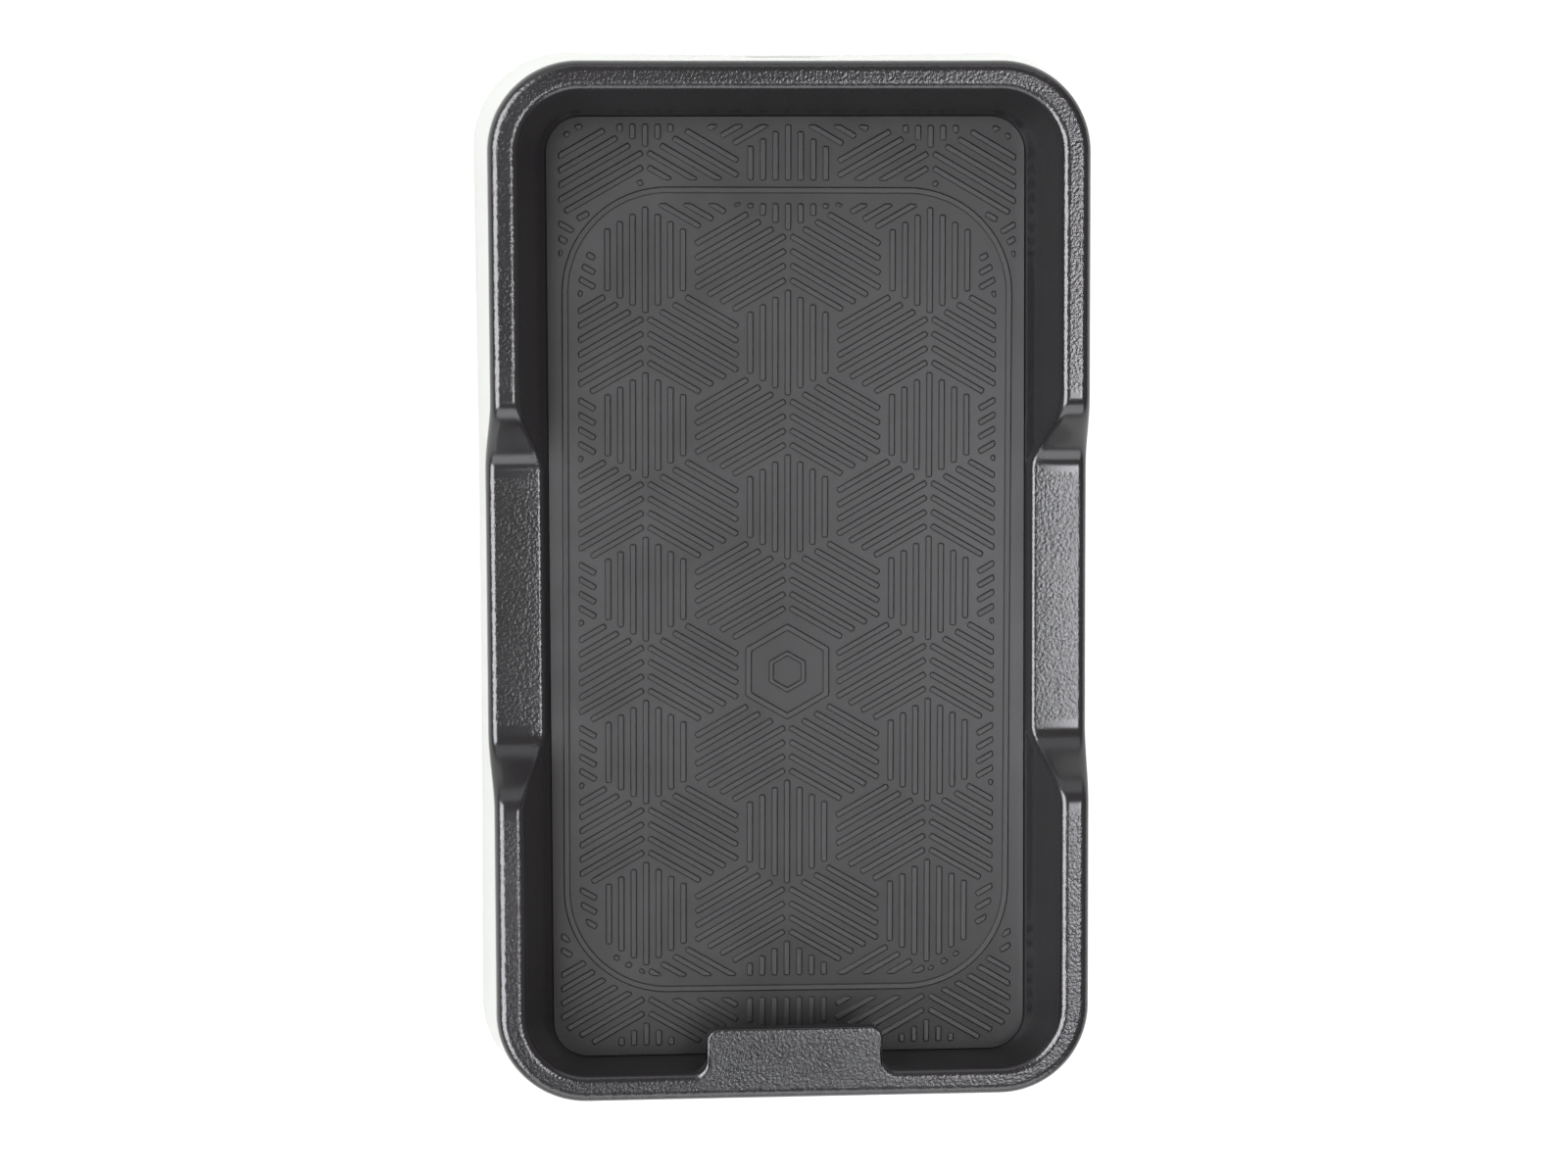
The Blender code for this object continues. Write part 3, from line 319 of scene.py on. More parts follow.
@dataclass(frozen=True)
class Finish:
    """A surface finish, whose grain is a bump of a size and a depth in metres."""

    slot: str
    colour: tuple
    roughness: float
    metallic: float = 0.0
    ior: float = 1.5
    grain_size: float = 0.0006
    grain_depth: float = 0.0
    mask: GrainMask | None = None
    mottle: float = 0.05
    mottle_size: float = 0.02
    coat: float = 0.0
    stretch: tuple = EVEN

    def material_name(self) -> str:
        """The name of this finish's material."""
        return f"{self.slot}_finish"

    def material(self) -> bpy.types.Material:
        """Build the node material: mottled colour, uneven roughness and a grain bump."""
        made = bpy.data.materials.new(self.material_name())
        made.use_nodes = True
        wiring = Wiring(made.node_tree.nodes, made.node_tree.links)
        shader = wiring.nodes["Principled BSDF"]
        shader.inputs["Metallic"].default_value = self.metallic
        shader.inputs["IOR"].default_value = self.ior
        shader.inputs["Coat Weight"].default_value = self.coat
        shader.inputs["Coat Roughness"].default_value = COAT_ROUGHNESS

        patches = wiring.noise(self.mottle_size, 3.0)
        tint = wiring.nodes.new("ShaderNodeMix")
        tint.data_type = "RGBA"
        for socket, change in ((6, -self.mottle), (7, self.mottle)):
            shade = [min(part * (1 + change), 1.0) for part in self.colour]
            tint.inputs[socket].default_value = (*shade, 1.0)
        wiring.links.new(wiring.mapped(patches, NOISE_RANGE, (0.0, 1.0)), tint.inputs[0])
        wiring.links.new(tint.outputs[2], shader.inputs["Base Color"])

        half = ROUGHNESS_SPREAD / 2
        rough = wiring.mapped(patches, NOISE_RANGE, (self.roughness - half, self.roughness + half))
        if self.grain_depth > 0:
            grain = wiring.noise(self.grain_size, 2.0, self.stretch)
            bump = wiring.fed("ShaderNodeBump", grain, "Height")
            bump.inputs["Strength"].default_value = 1.0
            bump.inputs["Distance"].default_value = self.grain_depth
            wiring.links.new(bump.outputs["Normal"], shader.inputs["Normal"])
            if self.mask:
                rough = self.mask.apply(wiring, bump, rough)
        wiring.links.new(rough, shader.inputs["Roughness"])
        return made


FINISHES = {
    finish.slot: finish
    for finish in (
        Finish("tray_black", (0.0135, 0.0120, 0.0130), 0.21, grain_size=0.00053, grain_depth=0.000082,
               mask=GrainMask(), mottle=0.06, mottle_size=0.03),
        Finish("mat_rubber", (0.0235, 0.0222, 0.0225), 0.42, ior=1.36, grain_size=0.00030,
               grain_depth=0.000010, mottle=0.10, mottle_size=0.012),
        Finish("housing_white", (0.575, 0.59, 0.56), 0.34, grain_size=0.002, grain_depth=0.000004,
               mottle=0.012, mottle_size=0.04),
        Finish("cover_grey", (0.55, 0.56, 0.55), 0.5, grain_size=0.0005, grain_depth=0.00004),
        Finish("foot_rubber", (0.05, 0.05, 0.05), 0.8, grain_size=0.0004, grain_depth=0.00002, mottle=0.12),
        Finish("screw_steel", (0.55, 0.56, 0.58), 0.3, 1.0, grain_size=0.0006, grain_depth=0.000003,
               stretch=BRUSHED),
        Finish("aluminium", (0.77, 0.78, 0.79), 0.35, 1.0, grain_size=0.0008, grain_depth=0.000004,
               stretch=BRUSHED),
        Finish("copper_enamel", (0.60, 0.27, 0.12), 0.32, 1.0, grain_size=0.0008, grain_depth=0.00003,
               coat=0.4, mottle=0.15),
        Finish("ferrite", (0.05, 0.05, 0.055), 0.5, grain_size=0.0004, grain_depth=0.00001),
        Finish("carrier_plastic", (0.70, 0.69, 0.65), 0.5, grain_size=0.001, grain_depth=0.00001),
        Finish("foam", (0.16, 0.16, 0.17), 0.95, grain_size=0.0008, grain_depth=0.0002, mottle=0.2),
        Finish("adhesive_tape", (0.65, 0.63, 0.55), 0.6, grain_size=0.0015, grain_depth=0.00001),
        Finish("board_green", (0.03, 0.16, 0.08), 0.35, grain_size=0.0012, grain_depth=0.00001, coat=0.3),
        Finish("chip_black", (0.02, 0.02, 0.022), 0.45, grain_size=0.0003, grain_depth=0.000006),
        Finish("capacitor_ceramic", (0.45, 0.34, 0.22), 0.4, grain_size=0.0005, grain_depth=0.000005),
        Finish("capacitor_can", (0.70, 0.70, 0.71), 0.3, 1.0, grain_size=0.0006, grain_depth=0.000003,
               stretch=BRUSHED),
    )
}


# The case's shared form


class Kind(Enum):
    """Where a station lies on the case's outline."""

    SIDE = 0
    CORNER = 1
    END = 2


@dataclass
class Stations:
    """Places round the case, shared by every ring, as arrays with one value for each place.

    place is a y on a side, an angle on a corner and an x on an end. Stations on the tab also have the
    tab outline's point there, its normal and the round on its edge.
    """

    kind: np.ndarray
    side: np.ndarray
    end: np.ndarray
    place: np.ndarray
    on_tab: np.ndarray
    tab_point: np.ndarray
    tab_normal: np.ndarray
    tab_round: np.ndarray

    @staticmethod
    def run(kind: Kind, side: int, end: int, place: np.ndarray) -> "Stations":
        """A run of stations of one kind, off the tab."""
        n = place.size
        return Stations(np.full(n, kind.value), np.full(n, side), np.full(n, end), place,
                        np.zeros(n, bool), np.zeros((n, 2)), np.zeros((n, 2)), np.zeros(n))

    @staticmethod
    def chained(runs: list) -> "Stations":
        """Several runs one after the other."""
        return Stations(*[np.concatenate([getattr(run, part.name) for run in runs])
                          for part in fields(Stations)])


@dataclass
class CaseForm:
    """The sizes that the tray and the outer housing share.

    side_share and end_share are how much of the straight parts between corners the stations cover.
    """

    height: float
    rim_width: float = 0.100
    rim_length: float = 0.174
    corner: float = 0.015
    pocket_depth: float = 0.0134
    slope_depth: float = 0.01195
    foot_curve: float = 0.148
    foot_length: float = 0.2
    draft: float = 0.107
    corner_growth: float = 0.3
    side_bow: float = 0.0004
    end_bow: float = 0.00045
    rim_band: float = 0.0044
    outer_round: float = 0.0016
    inner_round: float = 0.0016
    floor_inset_side: float = 0.00943
    floor_inset_far: float = 0.0085
    floor_inset_near: float = 0.0052
    floor_corner: float = 0.0063
    dip_centre: float = DIP_CENTRE
    dip_flat: float = DIP_FLAT
    dip_ramp: float = DIP_RAMP
    dip_shelf_rise: float = 0.0034
    dip_outer_round: float = 0.0015
    dip_inner_round: float = 0.0011
    corner_steps: int = 24
    ramp_steps: int = 28
    shelf_steps: int = 7
    side_steps: int = 5
    end_steps: int = 14
    side_share: float = 0.94
    end_share: float = 0.9

    def core(self) -> tuple:
        """Half width and half length of the rectangle that the corner circles are centred on."""
        return self.rim_width / 2 - self.corner, self.rim_length / 2 - self.corner

    def dip_share(self, st: Stations) -> np.ndarray:
        """How far the rim has dropped: a half cosine along each ramp, 1 on the shelf, 0 elsewhere."""
        past_flat = np.abs(st.place - self.dip_centre) - self.dip_flat / 2
        return np.where(st.kind == Kind.SIDE.value, smooth_share(past_flat / self.dip_ramp), 0.0)

    def rim_top(self, st: Stations) -> np.ndarray:
        """Height of the rim's top face at each station."""
        shelf = self.height - self.pocket_depth + self.dip_shelf_rise
        return self.height - (self.height - shelf) * self.dip_share(st)

    def blended(self, st: Stations, full: float, dipped: float) -> np.ndarray:
        """A size that changes from the full rim to the dip's shelf."""
        return full + (dipped - full) * self.dip_share(st)

    def outer_outline(self, z: np.ndarray, inset: np.ndarray) -> Outline:
        """The outer wall at a height: the rim's outline, grown by the wall's draft and moved in."""
        drafted = (self.height - z) * self.draft
        grow = drafted - inset
        return Outline(self.rim_width / 2 + grow, -self.rim_length / 2 - grow,
                       self.rim_length / 2 + grow, self.corner + drafted * self.corner_growth - inset)

    def pocket_outline(self, z: np.ndarray, outset: np.ndarray) -> Outline:
        """The pocket wall at a height: a straight slope that curves in at its foot, and upright below.

        Along the slope's last part, the curve adds the square of the way down that part.
        """
        depth = np.minimum((self.height - z) / self.slope_depth, 1.0)
        low = np.maximum((depth - 1.0) / self.foot_length + 1.0, 0.0)
        share = (1.0 - self.foot_curve) * depth + self.foot_curve * low ** 2
        side, near, far = (
            self.rim_band + share * (inset - self.rim_band)
            for inset in (self.floor_inset_side, self.floor_inset_near, self.floor_inset_far))
        top_corner = self.corner - self.rim_band
        corner = top_corner + share * (self.floor_corner - top_corner)
        return Outline(self.rim_width / 2 - side + outset, -self.rim_length / 2 + near - outset,
                       self.rim_length / 2 - far + outset, corner + outset)

    @staticmethod
    def on_outline(line: Outline, st: Stations) -> tuple:
        """Each station's x and y on an outline."""
        on_straight = [st.kind == Kind.SIDE.value, st.kind == Kind.END.value]
        centre_y = np.where(st.end > 0, line.far - line.corner, line.near + line.corner)
        x = np.select(on_straight, [st.side * line.half_x, st.place],
                      st.side * (line.half_x - line.corner) + line.corner * np.cos(st.place))
        y = np.select(on_straight, [st.place, np.where(st.end > 0, line.far, line.near)],
                      centre_y + line.corner * np.sin(st.place))
        return x, y

    def outer_ring(self, st: Stations, inset: np.ndarray, z: np.ndarray) -> np.ndarray:
        """A ring on the outer wall, which curves in between its corners as it goes down.

        Args:
            st: the stations.
            inset: how far inside the wall's face the ring lies.
            z: the ring's height at each station.

        Returns:
            An array of points.
        """
        z = np.broadcast_to(z, st.place.shape)
        x, y = self.on_outline(self.outer_outline(z, inset), st)
        low = (self.height - z) / self.height
        core_x, core_y = self.core()
        bow_x = self.side_bow * low * (1 - (y / core_y) ** 2)
        bow_y = self.end_bow * low * (1 - (x / core_x) ** 2)
        x = x - np.where(st.kind == Kind.SIDE.value, st.side * bow_x, 0.0)
        y = y - np.where(st.kind == Kind.END.value, st.end * bow_y, 0.0)
        return np.stack([x, y, z], axis=-1)

    def pocket_ring(self, st: Stations, outset: np.ndarray, z: np.ndarray) -> np.ndarray:
        """A ring on the pocket wall, at a height for each station."""
        z = np.broadcast_to(z, st.place.shape)
        x, y = self.on_outline(self.pocket_outline(z, outset), st)
        return np.stack([x, y, z], axis=-1)

    def end_places(self) -> np.ndarray:
        """Places along a plain end, left to right."""
        reach = self.core()[0] * self.end_share
        return np.linspace(-reach, reach, self.end_steps + 1)

    def stations(self, near_run: Stations) -> Stations:
        """Stations all round the case, anticlockwise from the near end of the right side.

        Args:
            near_run: the stations along the near end, left to right.

        Returns:
            All the stations.
        """
        reach = self.core()[1] * self.side_share
        flat = self.dip_flat / 2
        ramp = np.linspace(0.0, self.dip_ramp, self.ramp_steps + 1)
        low_y = self.dip_centre - flat - ramp[::-1]
        high_y = self.dip_centre + flat + ramp
        side_y = np.concatenate([
            np.linspace(-reach, low_y[0], self.side_steps + 1)[:-1],
            low_y,
            np.linspace(low_y[-1], high_y[0], self.shelf_steps + 1)[1:-1],
            high_y,
            np.linspace(high_y[-1], reach, self.side_steps + 1)[1:],
        ])

        def corner(side: int, end: int, start: float) -> Stations:
            """Stations round one corner."""
            return Stations.run(Kind.CORNER, side, end, turns(start, start + 90, self.corner_steps))

        return Stations.chained([
            Stations.run(Kind.SIDE, 1, 0, side_y),
            corner(1, 1, 0),
            Stations.run(Kind.END, 0, 1, self.end_places()[::-1]),
            corner(-1, 1, 90),
            Stations.run(Kind.SIDE, -1, 0, side_y[::-1]),
            corner(-1, -1, 180),
            near_run,
            corner(1, -1, 270),
        ])


@dataclass
class ChargingTray:
    """The black tray: rim, finger dips, tab, pocket and floor in one skin.

    skirt is how far inside the outer face the tongue below the rim lies. lip_bend is where the small
    round on the rim's lower edge bends, and shelf_crown is how far a shelf rises in its middle.
    """

    form: CaseForm
    finish: Finish
    lip_height: float = 0.003
    tongue_height: float = 0.0015
    skirt: float = 0.0023
    floor_round: float = 0.0004
    floor_thickness: float = 0.0018
    wall: float = 0.002
    lip_round: float = 0.00035
    lip_bend: float = 0.000105
    shelf_crown: float = 0.00005
    tab_width: float = 0.0298
    tab_reach: float = 0.0075
    tab_thickness: float = 0.0024
    tab_front_round: float = 0.0021
    tab_root_round: float = 0.0025
    tab_edge_round: float = 0.00045
    arc_steps: int = 14
    round_steps: int = 10
    floor_steps: int = 6
    near_steps: int = 7
    rim_shares: tuple = (0.04, 0.15, 0.3, 0.5, 0.7, 0.85, 0.96)
    wall_shares: tuple = (0.04, 0.3, 0.55, 0.7, 0.78, 0.85, 0.91, 0.97)

    def tab_half(self) -> Stations:
        """Stations round the tab's left half: root arc, straight side, front corner, half the front.

        The root arc is a quarter circle that leaves the pocket wall, its edge round shrinking on the
        way, and the front corner is a quarter circle that ends on the front edge.
        """
        wall_y = float(self.form.pocket_outline(self.form.height - self.form.inner_round, 0.0).near)
        half = self.tab_width / 2
        turn = turns(0, 90, self.arc_steps)
        root_y, root_x = quarter(self.tab_root_round, turn)
        front_x, front_y = quarter(self.tab_front_round, turn)
        point = np.concatenate([
            np.stack([-half - root_x, wall_y + root_y], axis=-1),
            np.stack([-half + front_x, wall_y + self.tab_reach - front_y], axis=-1)])
        normal = np.concatenate([np.stack([-np.sin(turn), np.cos(turn)], axis=-1),
                                 np.stack([-np.cos(turn), np.sin(turn)], axis=-1)])
        root_edge = self.form.inner_round + (self.tab_edge_round - self.form.inner_round) * (
            1 - smooth_share(turn / (np.pi / 2)))
        edge = np.concatenate([root_edge, np.full(turn.size, self.tab_edge_round)])
        n = edge.size
        return Stations(np.full(n, Kind.END.value), np.zeros(n, int), np.full(n, -1),
                        np.linspace(point[0, 0], point[-1, 0], n), np.ones(n, bool), point, normal, edge)

    def near_run(self) -> Stations:
        """Stations along the near end: plain wall, the tab, and plain wall."""
        left = self.tab_half()
        flip = np.array([-1.0, 1.0])
        right = Stations(left.kind, left.side, left.end, -left.place[::-1], left.on_tab,
                         left.tab_point[::-1] * flip, left.tab_normal[::-1] * flip, left.tab_round[::-1])
        start = -self.form.core()[0] * self.form.side_share
        plain = np.linspace(start, left.place[0], self.near_steps + 1)[:-1]
        return Stations.chained([Stations.run(Kind.END, 0, -1, plain), left, right,
                                 Stations.run(Kind.END, 0, -1, -plain[::-1])])

    def outer_edge_ring(self, st: Stations, turn: float) -> np.ndarray:
        """A ring on the rim's outer round, a quarter circle from the outer face to the top face."""
        edge = self.form.blended(st, self.form.outer_round, self.form.dip_outer_round)
        inset, drop = quarter(edge, turn)
        return self.form.outer_ring(st, inset, self.form.rim_top(st) - drop)

    def inner_edge_ring(self, st: Stations, turn: float) -> np.ndarray:
        """A ring on the rim's inner round, a quarter circle from the top face down to the wall."""
        edge = np.where(st.on_tab, st.tab_round,
                        self.form.blended(st, self.form.inner_round, self.form.dip_inner_round))
        top = self.form.rim_top(st)
        drop, outset = quarter(edge, turn)
        x, y = self.form.on_outline(self.form.pocket_outline(top - edge, outset), st)
        x = np.where(st.on_tab, st.tab_point[:, 0] - outset * st.tab_normal[:, 0], x)
        y = np.where(st.on_tab, st.tab_point[:, 1] - outset * st.tab_normal[:, 1], y)
        return np.stack([x, y, top - drop], axis=-1)

    def tab_front_ring(self, st: Stations, drop: float, tab_drop: float) -> np.ndarray:
        """A ring on the pocket wall, except on the tab, where it lies down the tab's front.

        Args:
            st: the stations.
            drop: how far below the rim the ring lies.
            tab_drop: how far below the tab's top it lies on the tab.

        Returns:
            An array of points.
        """
        ring = self.form.pocket_ring(st, 0.0, self.form.rim_top(st) - drop)
        return np.where(st.on_tab[:, None], at_height(st.tab_point, self.form.height - tab_drop), ring)

    def rings(self, st: Stations) -> list:
        """Rings over the whole skin, from the floor's underside over the rim and into the pocket."""
        form = self.form
        top = form.rim_top(st)
        floor = form.height - form.pocket_depth
        deep = top - self.lip_height - self.tongue_height
        lip = top - self.lip_height
        rings = [
            form.pocket_ring(st, self.wall, floor - self.floor_thickness),
            form.pocket_ring(st, self.wall, deep),
            form.outer_ring(st, self.skirt, deep),
            form.outer_ring(st, self.skirt, lip),
            form.outer_ring(st, self.lip_round, lip),
            form.outer_ring(st, self.lip_bend, lip + self.lip_bend),
            form.outer_ring(st, 0.0, lip + self.lip_round),
        ]
        rounds = turns(0, 90, self.round_steps)
        rings += [self.outer_edge_ring(st, turn) for turn in rounds]
        outer_rim = self.outer_edge_ring(st, np.pi / 2)
        inner_rim = self.inner_edge_ring(st, 0.0)
        crown = form.blended(st, 0.0, self.shelf_crown)
        for share in self.rim_shares:
            ring = outer_rim + (inner_rim - outer_rim) * share
            ring[:, 2] += 4 * crown * share * (1 - share)
            rings.append(ring)
        rings += [self.inner_edge_ring(st, turn) for turn in rounds]
        rings += [
            self.tab_front_ring(st, (form.inner_round + self.tab_thickness) / 2, self.tab_thickness),
            form.pocket_ring(st, 0.0, top - self.tab_thickness),
        ]
        wall_foot = floor + self.floor_round
        low_wall = top - self.tab_thickness
        rings += [form.pocket_ring(st, 0.0, low_wall + (wall_foot - low_wall) * share)
                  for share in self.wall_shares]
        for turn in turns(0, 90, self.floor_steps):
            inset, rise = quarter(self.floor_round, turn)
            x, y = form.on_outline(form.pocket_outline(wall_foot, -inset), st)
            rings.append(at_height(np.stack([x, y], axis=-1), floor + rise))
        return rings

    def build(self) -> bpy.types.Object:
        """Build the tray and dress it."""
        body = Body()
        body.add_skin(self.rings(self.form.stations(self.near_run())))
        return settled(body.make("tray_shell"), self.finish, "charging_tray")


@dataclass
class OuterHousing:
    """The off-white wall round the case, with its ledge and the cable port.

    port_bow is how far the end's bow has moved the outer face in at the port.
    """

    form: CaseForm
    finish: Finish
    port_z: float
    top_drop: float = 0.0033
    wall: float = 0.002
    foot: float = 0.0012
    chamfer: float = 0.0009
    ledge_low: float = 0.0035
    ledge_high: float = 0.005
    ledge_width: float = 0.0015
    top_round: float = 0.0003
    port_width: float = 0.012
    port_height: float = 0.0056
    port_corner: float = 0.0018
    port_lip: float = 0.0005
    port_bow: float = 0.000315
    face_shares: tuple = (0.04, 0.5, 0.97, 1.0)

    def rings(self, st: Stations) -> list:
        """Rings round the wall's section: chamfer, outer face, rounded top, inner face and ledge."""
        form = self.form
        top = form.rim_top(st) - self.top_drop
        ledge = self.wall + self.ledge_width
        rings = []
        for turn in turns(0, 90, 5):
            rise, inset = quarter(self.chamfer, turn)
            rings.append(form.outer_ring(st, inset, self.foot + rise))
        low = self.foot + self.chamfer
        rings += [form.outer_ring(st, 0.0, low + (top - self.top_round - low) * share)
                  for share in self.face_shares]
        for turn in turns(30, 90, 2):
            inset, drop = quarter(self.top_round, turn)
            rings.append(form.outer_ring(st, inset, top - drop))
        rings += [
            form.outer_ring(st, self.wall, top),
            form.outer_ring(st, self.wall, self.ledge_high),
            form.outer_ring(st, ledge, self.ledge_high),
            form.outer_ring(st, ledge, self.ledge_low),
            form.outer_ring(st, self.wall, self.ledge_low),
            form.outer_ring(st, self.wall, self.foot),
        ]
        return rings

    def build(self) -> bpy.types.Object:
        """Build the wall, cut the port through its far end and dress it."""
        near = Stations.run(Kind.END, 0, -1, self.form.end_places())
        body = Body()
        body.add_skin(self.rings(self.form.stations(near)), closed=True)
        housing = body.make("housing_wall")
        cutter = self.port_cutter()
        cut = housing.modifiers.new("port", "BOOLEAN")
        cut.operation = "DIFFERENCE"
        cut.solver = "EXACT"
        cut.object = cutter
        apply_modifiers(housing)
        bpy.data.objects.remove(cutter, do_unlink=True)
        return settled(housing, self.finish, "outer_housing")

    def port_cutter(self) -> bpy.types.Object:
        """A rounded bar through the far wall, flared where it meets the outer face.

        Its section is the port's outline, and near the outer face it widens by a quarter circle.
        """
        face = float(self.form.outer_outline(self.port_z, 0.0).far) - self.port_bow
        half = self.port_height / 2
        shape = Outline(self.port_width / 2, self.port_z - half, self.port_z + half, self.port_corner)
        flare, depth = quarter(self.port_lip, turns(20, 90, 4))
        rows = [(face - 3 * self.wall, 0.0), (face - self.port_lip, 0.0), *zip(face - depth, flare),
                (face + self.wall, self.port_lip)]
        rings = []
        for y, grow in rows:
            flat = shape.moved_out(grow).points(8)
            rings.append(np.column_stack([flat[::-1, 0], np.full(len(flat), y), flat[::-1, 1]]))
        body = Body()
        body.add_skin(rings)
        return body.make("port_cutter")


# Gives an outline's points, moved out by a distance
MovedOutline = Callable[[float], np.ndarray]


@dataclass
class GripMat:
    """The rubber mat: slab, ribs in striped hexagons, racetrack line and badge.

    A gap lies between the ends of the bars and what they stop at. The pattern's places are those
    before it is turned, scaled and moved.
    """

    finish: Finish
    low: Vector
    high: Vector
    corner: float = 0.006
    rib_height: float = 0.00030
    edge_round: float = 0.00008
    badge_y: float = -0.0159
    cell: float = 0.0162
    bars: int = 7
    bar_pitch: float = 0.00214
    bar_width: float = 0.00112
    tip_gap: float = 0.00048
    upright_gap: float = 0.00033
    upright_lift: float = 0.0003
    track_side: float = 0.0020
    track_far: float = 0.01145
    track_near: float = 0.0102
    track_width: float = 0.00117
    track_corner: float = 0.018
    track_gap: float = 0.0016
    near_gap: float = -0.0001
    outer_gap: float = 0.0010
    side_gap: float = 0.0015
    end_gap: float = 0.0009
    badge_width: float = 0.0145
    badge_line: float = 0.00115
    mark_width: float = 0.0064
    mark_line: float = 0.0009
    bar_round: float = 0.00034
    shortest_bar: float = 0.0006
    rib_slope: float = 0.00020
    rib_edge: float = 0.00004
    sunk: float = 0.00005
    pattern_centre: tuple = (0.0, -0.0015)
    pattern_turn: float = -0.0055
    pattern_scale: float = 0.9936
    pattern_shift: tuple = (-0.00009, 0.00008)
    badge_corner: float = 0.0006
    mark_corner: float = 0.0005
    inner_corner_share: float = 0.6
    least_corner: float = 0.00005
    cells_each_way: int = 8
    bar_angles: tuple = (90.0, 30.0, 150.0)
    bar_samples: int = 241
    slope_step: float = 0.00001
    least_lean: float = 0.4
    slab_steps: int = 12
    track_steps: int = 20

    def outline(self) -> Outline:
        """The mat's edge."""
        return Outline(self.high.x, self.low.y, self.high.y, self.corner)

    def laid(self, flat: np.ndarray) -> np.ndarray:
        """The pattern's points as laid on the mat: turned and scaled about a centre, and moved."""
        cos = self.pattern_scale * math.cos(self.pattern_turn)
        sin = self.pattern_scale * math.sin(self.pattern_turn)
        turned = (flat - self.pattern_centre) @ np.array([[cos, sin], [-sin, cos]])
        return turned + self.pattern_centre + self.pattern_shift

    def track(self) -> Outline:
        """The racetrack line's outer edge."""
        return Outline(self.high.x - self.track_side, self.low.y + self.track_near,
                       self.high.y - self.track_far, self.track_corner)

    def base_top(self) -> float:
        """Height of the mat between its ribs."""
        return self.high.z - self.rib_height

    def slab(self, body: Body) -> None:
        """Add the slab: its outline at each level, rounded in at the top edge."""
        edge = self.edge_round
        levels = [(self.low.z, 0.0), (self.base_top() - edge, 0.0)]
        insets, drops = quarter(edge, turns(22.5, 90, 3))
        levels += zip(self.base_top() - drops, insets)
        body.add_skin([at_height(self.outline().moved_out(-inset).points(self.slab_steps), z)
                       for z, inset in levels])

    def profile(self) -> np.ndarray:
        """Half a raised line's section: a leaning side, a small round and the start of the flat top.

        The side leans a little further out below the slab's face, and one point in between makes the
        round.

        Returns:
            Rows of inset from the line's edge and height, from below the slab's face up to the top.
        """
        base = self.base_top()
        top = base + self.rib_height
        edge = self.rib_edge
        return np.array([
            (-0.2 * self.rib_slope, base - self.sunk),
            (self.rib_slope, top - edge),
            (self.rib_slope + 0.4 * edge, top - 0.25 * edge),
            (self.rib_slope + edge, top),
            (self.rib_slope + 2.5 * edge, top),
        ])

    def raised_line(self, body: Body, outer: MovedOutline, inner: MovedOutline) -> None:
        """Add a closed raised line between two nested outlines.

        Args:
            body: what the line is added to.
            outer: gives the outer outline, moved out by a distance.
            inner: gives the inner outline, moved out by a distance.
        """
        half = self.profile()
        rings = [at_height(self.laid(outer(-inset)), z) for inset, z in half]
        rings += [at_height(self.laid(inner(inset)), z) for inset, z in half[::-1]]
        body.add_skin(rings, closed=True)

    def hexagon(self, across: float, corner: float) -> MovedOutline:
        """A hexagon round the badge's middle, with a corner at the top.

        Each corner is an arc about the corner of a smaller hexagon, from one side's normal to the next.

        Args:
            across: its width between two sides.
            corner: the round of its corners.

        Returns:
            A function that gives the outline moved out by a distance.
        """
        def moved(distance: float) -> np.ndarray:
            """The outline's points, moved out."""
            radius = max(corner + distance, self.least_corner)
            reach = (across / 2 + distance - radius) / math.cos(math.pi / 6)
            middle = turns(30, 330, 5)[:, None]
            arc = middle + turns(-30, 30, 4)
            return np.stack([reach * np.cos(middle) + radius * np.cos(arc),
                             self.badge_y + reach * np.sin(middle) + radius * np.sin(arc)],
                            axis=-1).reshape(-1, 2)
        return moved

    def badge(self, body: Body) -> None:
        """Add the badge: a plain hexagon line round a smaller plain hexagon line."""
        for across, line, corner in ((self.badge_width, self.badge_line, self.badge_corner),
                                     (self.mark_width, self.mark_line, self.mark_corner)):
            inner = self.hexagon(across - 2 * line, corner * self.inner_corner_share)
            self.raised_line(body, self.hexagon(across, corner), inner)

    def bar_lines(self) -> tuple:
        """Lay out the bars of every cell but the badge's.

        Cells are hexagons in rows that shift by half a cell. Their bars take the three angles by turns:
        the number of steps along the row less the row's number. Upright bars have a gap of their own at
        their ends and lie a little further up.

        Returns:
            Centre, direction and half length of every bar.
        """
        reach = range(-self.cells_each_way, self.cells_each_way + 1)
        cells = [(i, j) for j in reach for i in reach if (i, j) != (0, 0)]
        i, j = np.array(cells).T
        row_y = self.badge_y + self.cell * j * math.sqrt(3) / 2
        centre = np.column_stack([self.cell * (i + j / 2), row_y])
        kind = (i - j) % len(self.bar_angles)
        angle = np.radians(np.array(self.bar_angles)[kind])
        along = np.column_stack([np.cos(angle), np.sin(angle)])
        across = np.column_stack([-along[:, 1], along[:, 0]])
        offset = (np.arange(self.bars) - (self.bars - 1) / 2) * self.bar_pitch
        middle = centre[:, None] + across[:, None] * offset[None, :, None]
        upright = kind == 0
        gap = np.where(upright, self.upright_gap, self.tip_gap)
        middle[upright, :, 1] += self.upright_lift
        half = self.cell / math.sqrt(3) - np.abs(offset) * math.tan(math.pi / 6) - gap[:, None]
        direction = np.broadcast_to(along[:, None], middle.shape)
        return middle.reshape(-1, 2), direction.reshape(-1, 2), half.reshape(-1)

